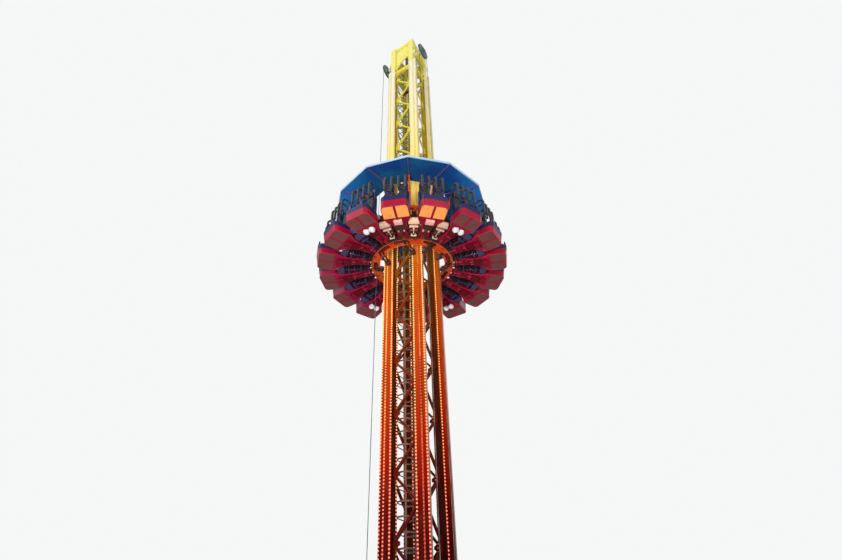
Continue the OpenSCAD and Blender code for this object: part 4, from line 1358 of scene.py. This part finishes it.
def seatPad():
    block = addBlock((2.453, -0.132, 11.944), (2.776, 0.132, 12.004))
    gridded(block, 8)
    for vertex in block.data.vertices:
        x, y, z = vertex.co
        if z > 11.95:
            rise = 0.012 * ((x - 2.453) / 0.323) ** 2
            dish = 0.016 * math.exp(-((x - 2.58) / 0.09) ** 2) * math.exp(-(y / 0.09) ** 2)
            vertex.co.z += (rise - dish) * (z - 11.944) / 0.06
    softened(block, 0.014, 2)
    swollen(block, pads["seat"], (2, 11.9405, 1))
    top = 11.985
    lengthwise = [(1, y, 0.007, 0.009, 2, top, 2.47, 2.76, 0) for y in (0.075, -0.075)]
    tufted(block, lengthwise + [(0, 2.685, 0.007, 0.008, 2, top, -0.12, 0.12, 1)])
    return lightened(block, pads["seat"]["faces"])


def backPad():
    block = addBlock((2.4235, -0.112, 12.050), (2.462, 0.112, 12.520))
    gridded(block, 8)
    for vertex in block.data.vertices:
        x, y, z = vertex.co
        if x > 2.44:
            vertex.co.x += 0.010 * math.exp(-((z - 12.20) / 0.10) ** 2) - 0.008 * math.exp(-(y / 0.05) ** 2)
    softened(block, 0.010, 2)
    swollen(block, pads["back"], (0, 2.4215, 1))
    tufted(block, [(2, z, 0.007, 0.008, 0, 2.44, -0.10, 0.10, 1) for z in (12.14, 12.235, 12.33, 12.425)])
    return lightened(block, pads["back"]["faces"])


def headPad():
    block = addBlock((2.4235, -0.078, 12.565), (2.462, 0.078, 12.775))
    gridded(block, 6)
    for vertex in block.data.vertices:
        if vertex.co.x > 2.44:
            vertex.co.x += 0.012 * (vertex.co.y / 0.078) ** 2 - 0.004
    softened(block, 0.012, 2)
    swollen(block, pads["head"], (0, 2.4215, 1))
    tufted(block, [(2, 12.67, 0.007, 0.007, 0, 2.44, -0.07, 0.07, 1)])
    return lightened(block, pads["head"]["faces"])


def shoulderPad():
    points, widths = [], []
    for k in range(9):
        a = math.radians(140 - 17.5 * k)
        points.append((2.518 + 0.128 * math.cos(a), 0.0, 12.85 + 0.128 * math.sin(a)))
        widths.append(0.80 + 0.04 * k)
    for k in range(1, 9):
        points.append((2.646, 0.0, 12.85 - 0.052 * k))
        widths.append(1.12 + 0.06 * math.sin(math.pi * k / 8) - (0.12 if k == 8 else 0))
    sleeve = addTube(points, 0.032, 16, widths)
    swollen(sleeve, pads["shoulder"])
    tufted(sleeve, [(2, z, 0.006, 0.005, 0, 2.646, -0.05, 0.05, 1) for z in (12.52, 12.62, 12.72)])
    return lightened(sleeve, pads["shoulder"]["faces"])


for name, make, node, fill in (
        ("seatCushions", seatPad, "seat_cushions", 0.75), ("backPads", backPad, "back_cushions", 0.7),
        ("headPads", headPad, None, 0.7)):
    keep(spread(make(), seats), name, "gondola", "cushion", None, 60, node)
sleeves = spread(shoulderPad(), [moved(0, side * 0.095, 0) for side in (-1, 1)])
keep(spread(sleeves, seats), "shoulderPads", "gondola", "cushion", None, 60)
print("padding made")

# Each lamp has its place, size, power and the width of its beam in degrees.
studio = {
    "soft": ((0.9, 0.93, 1.0), 0.55),
    "backdrop": ((0.92, 0.93, 0.93), 1.0),
    "aim": (0, 0, 12),
    "keyLamp": ((-14, -20, 29), 16, 3400, 180),
    "fillLamp": ((20, -14, 16), 16, 1700, 180),
    "lowLamp": ((5, -14, 3.6), 8, 560, 90),
    "rearLamp": ((4, 20, 24), 16, 1400, 180),
}


def addStudio():
    world = bpy.data.worlds.new("studioWorld")
    bpy.context.scene.world = world
    world.use_nodes = True
    nodes, link = world.node_tree.nodes, world.node_tree.links.new
    nodes.clear()
    path = nodes.new("ShaderNodeLightPath")
    seen = path.outputs["Is Camera Ray"]
    for ray in ("Is Glossy Ray", "Is Transmission Ray"):
        either = nodes.new("ShaderNodeMath")
        either.operation = "MAXIMUM"
        link(seen, either.inputs[0])
        link(path.outputs[ray], either.inputs[1])
        seen = either.outputs[0]
    choose = nodes.new("ShaderNodeMixShader")
    link(seen, choose.inputs[0])
    for k, name in enumerate(("soft", "backdrop")):
        colour, strength = studio[name]
        light = nodes.new("ShaderNodeBackground")
        light.inputs["Color"].default_value = (*colour, 1)
        light.inputs["Strength"].default_value = strength
        link(light.outputs[0], choose.inputs[1 + k])
    link(choose.outputs[0], nodes.new("ShaderNodeOutputWorld").inputs["Surface"])
    for name in ("keyLamp", "fillLamp", "lowLamp", "rearLamp"):
        place, size, power, beam = studio[name]
        lamp = bpy.data.lights.new(name, "AREA")
        lamp.size = size
        lamp.energy = power
        lamp.spread = math.radians(beam)
        holder = bpy.data.objects.new(name, lamp)
        aim = Vector(studio["aim"]) - Vector(place)
        holder.matrix_world = Matrix.Translation(place) @ aim.to_track_quat("-Z", "Y").to_matrix().to_4x4()
        bpy.context.collection.objects.link(holder)
    bpy.ops.object.select_all(action="DESELECT")
    bpy.ops.mesh.primitive_plane_add(size=120, location=(0, 0, -0.001))
    floor = bpy.context.active_object
    floor.name = "studioFloor"
    f = Finish("floorPale", Roughness=0.9)
    f.set(Base_Color=(0.8, 0.8, 0.79, 1))
    floor.data.materials.append(f.material)


addStudio()
print("studio set")
bpy.context.scene.view_settings.view_transform = "Standard"
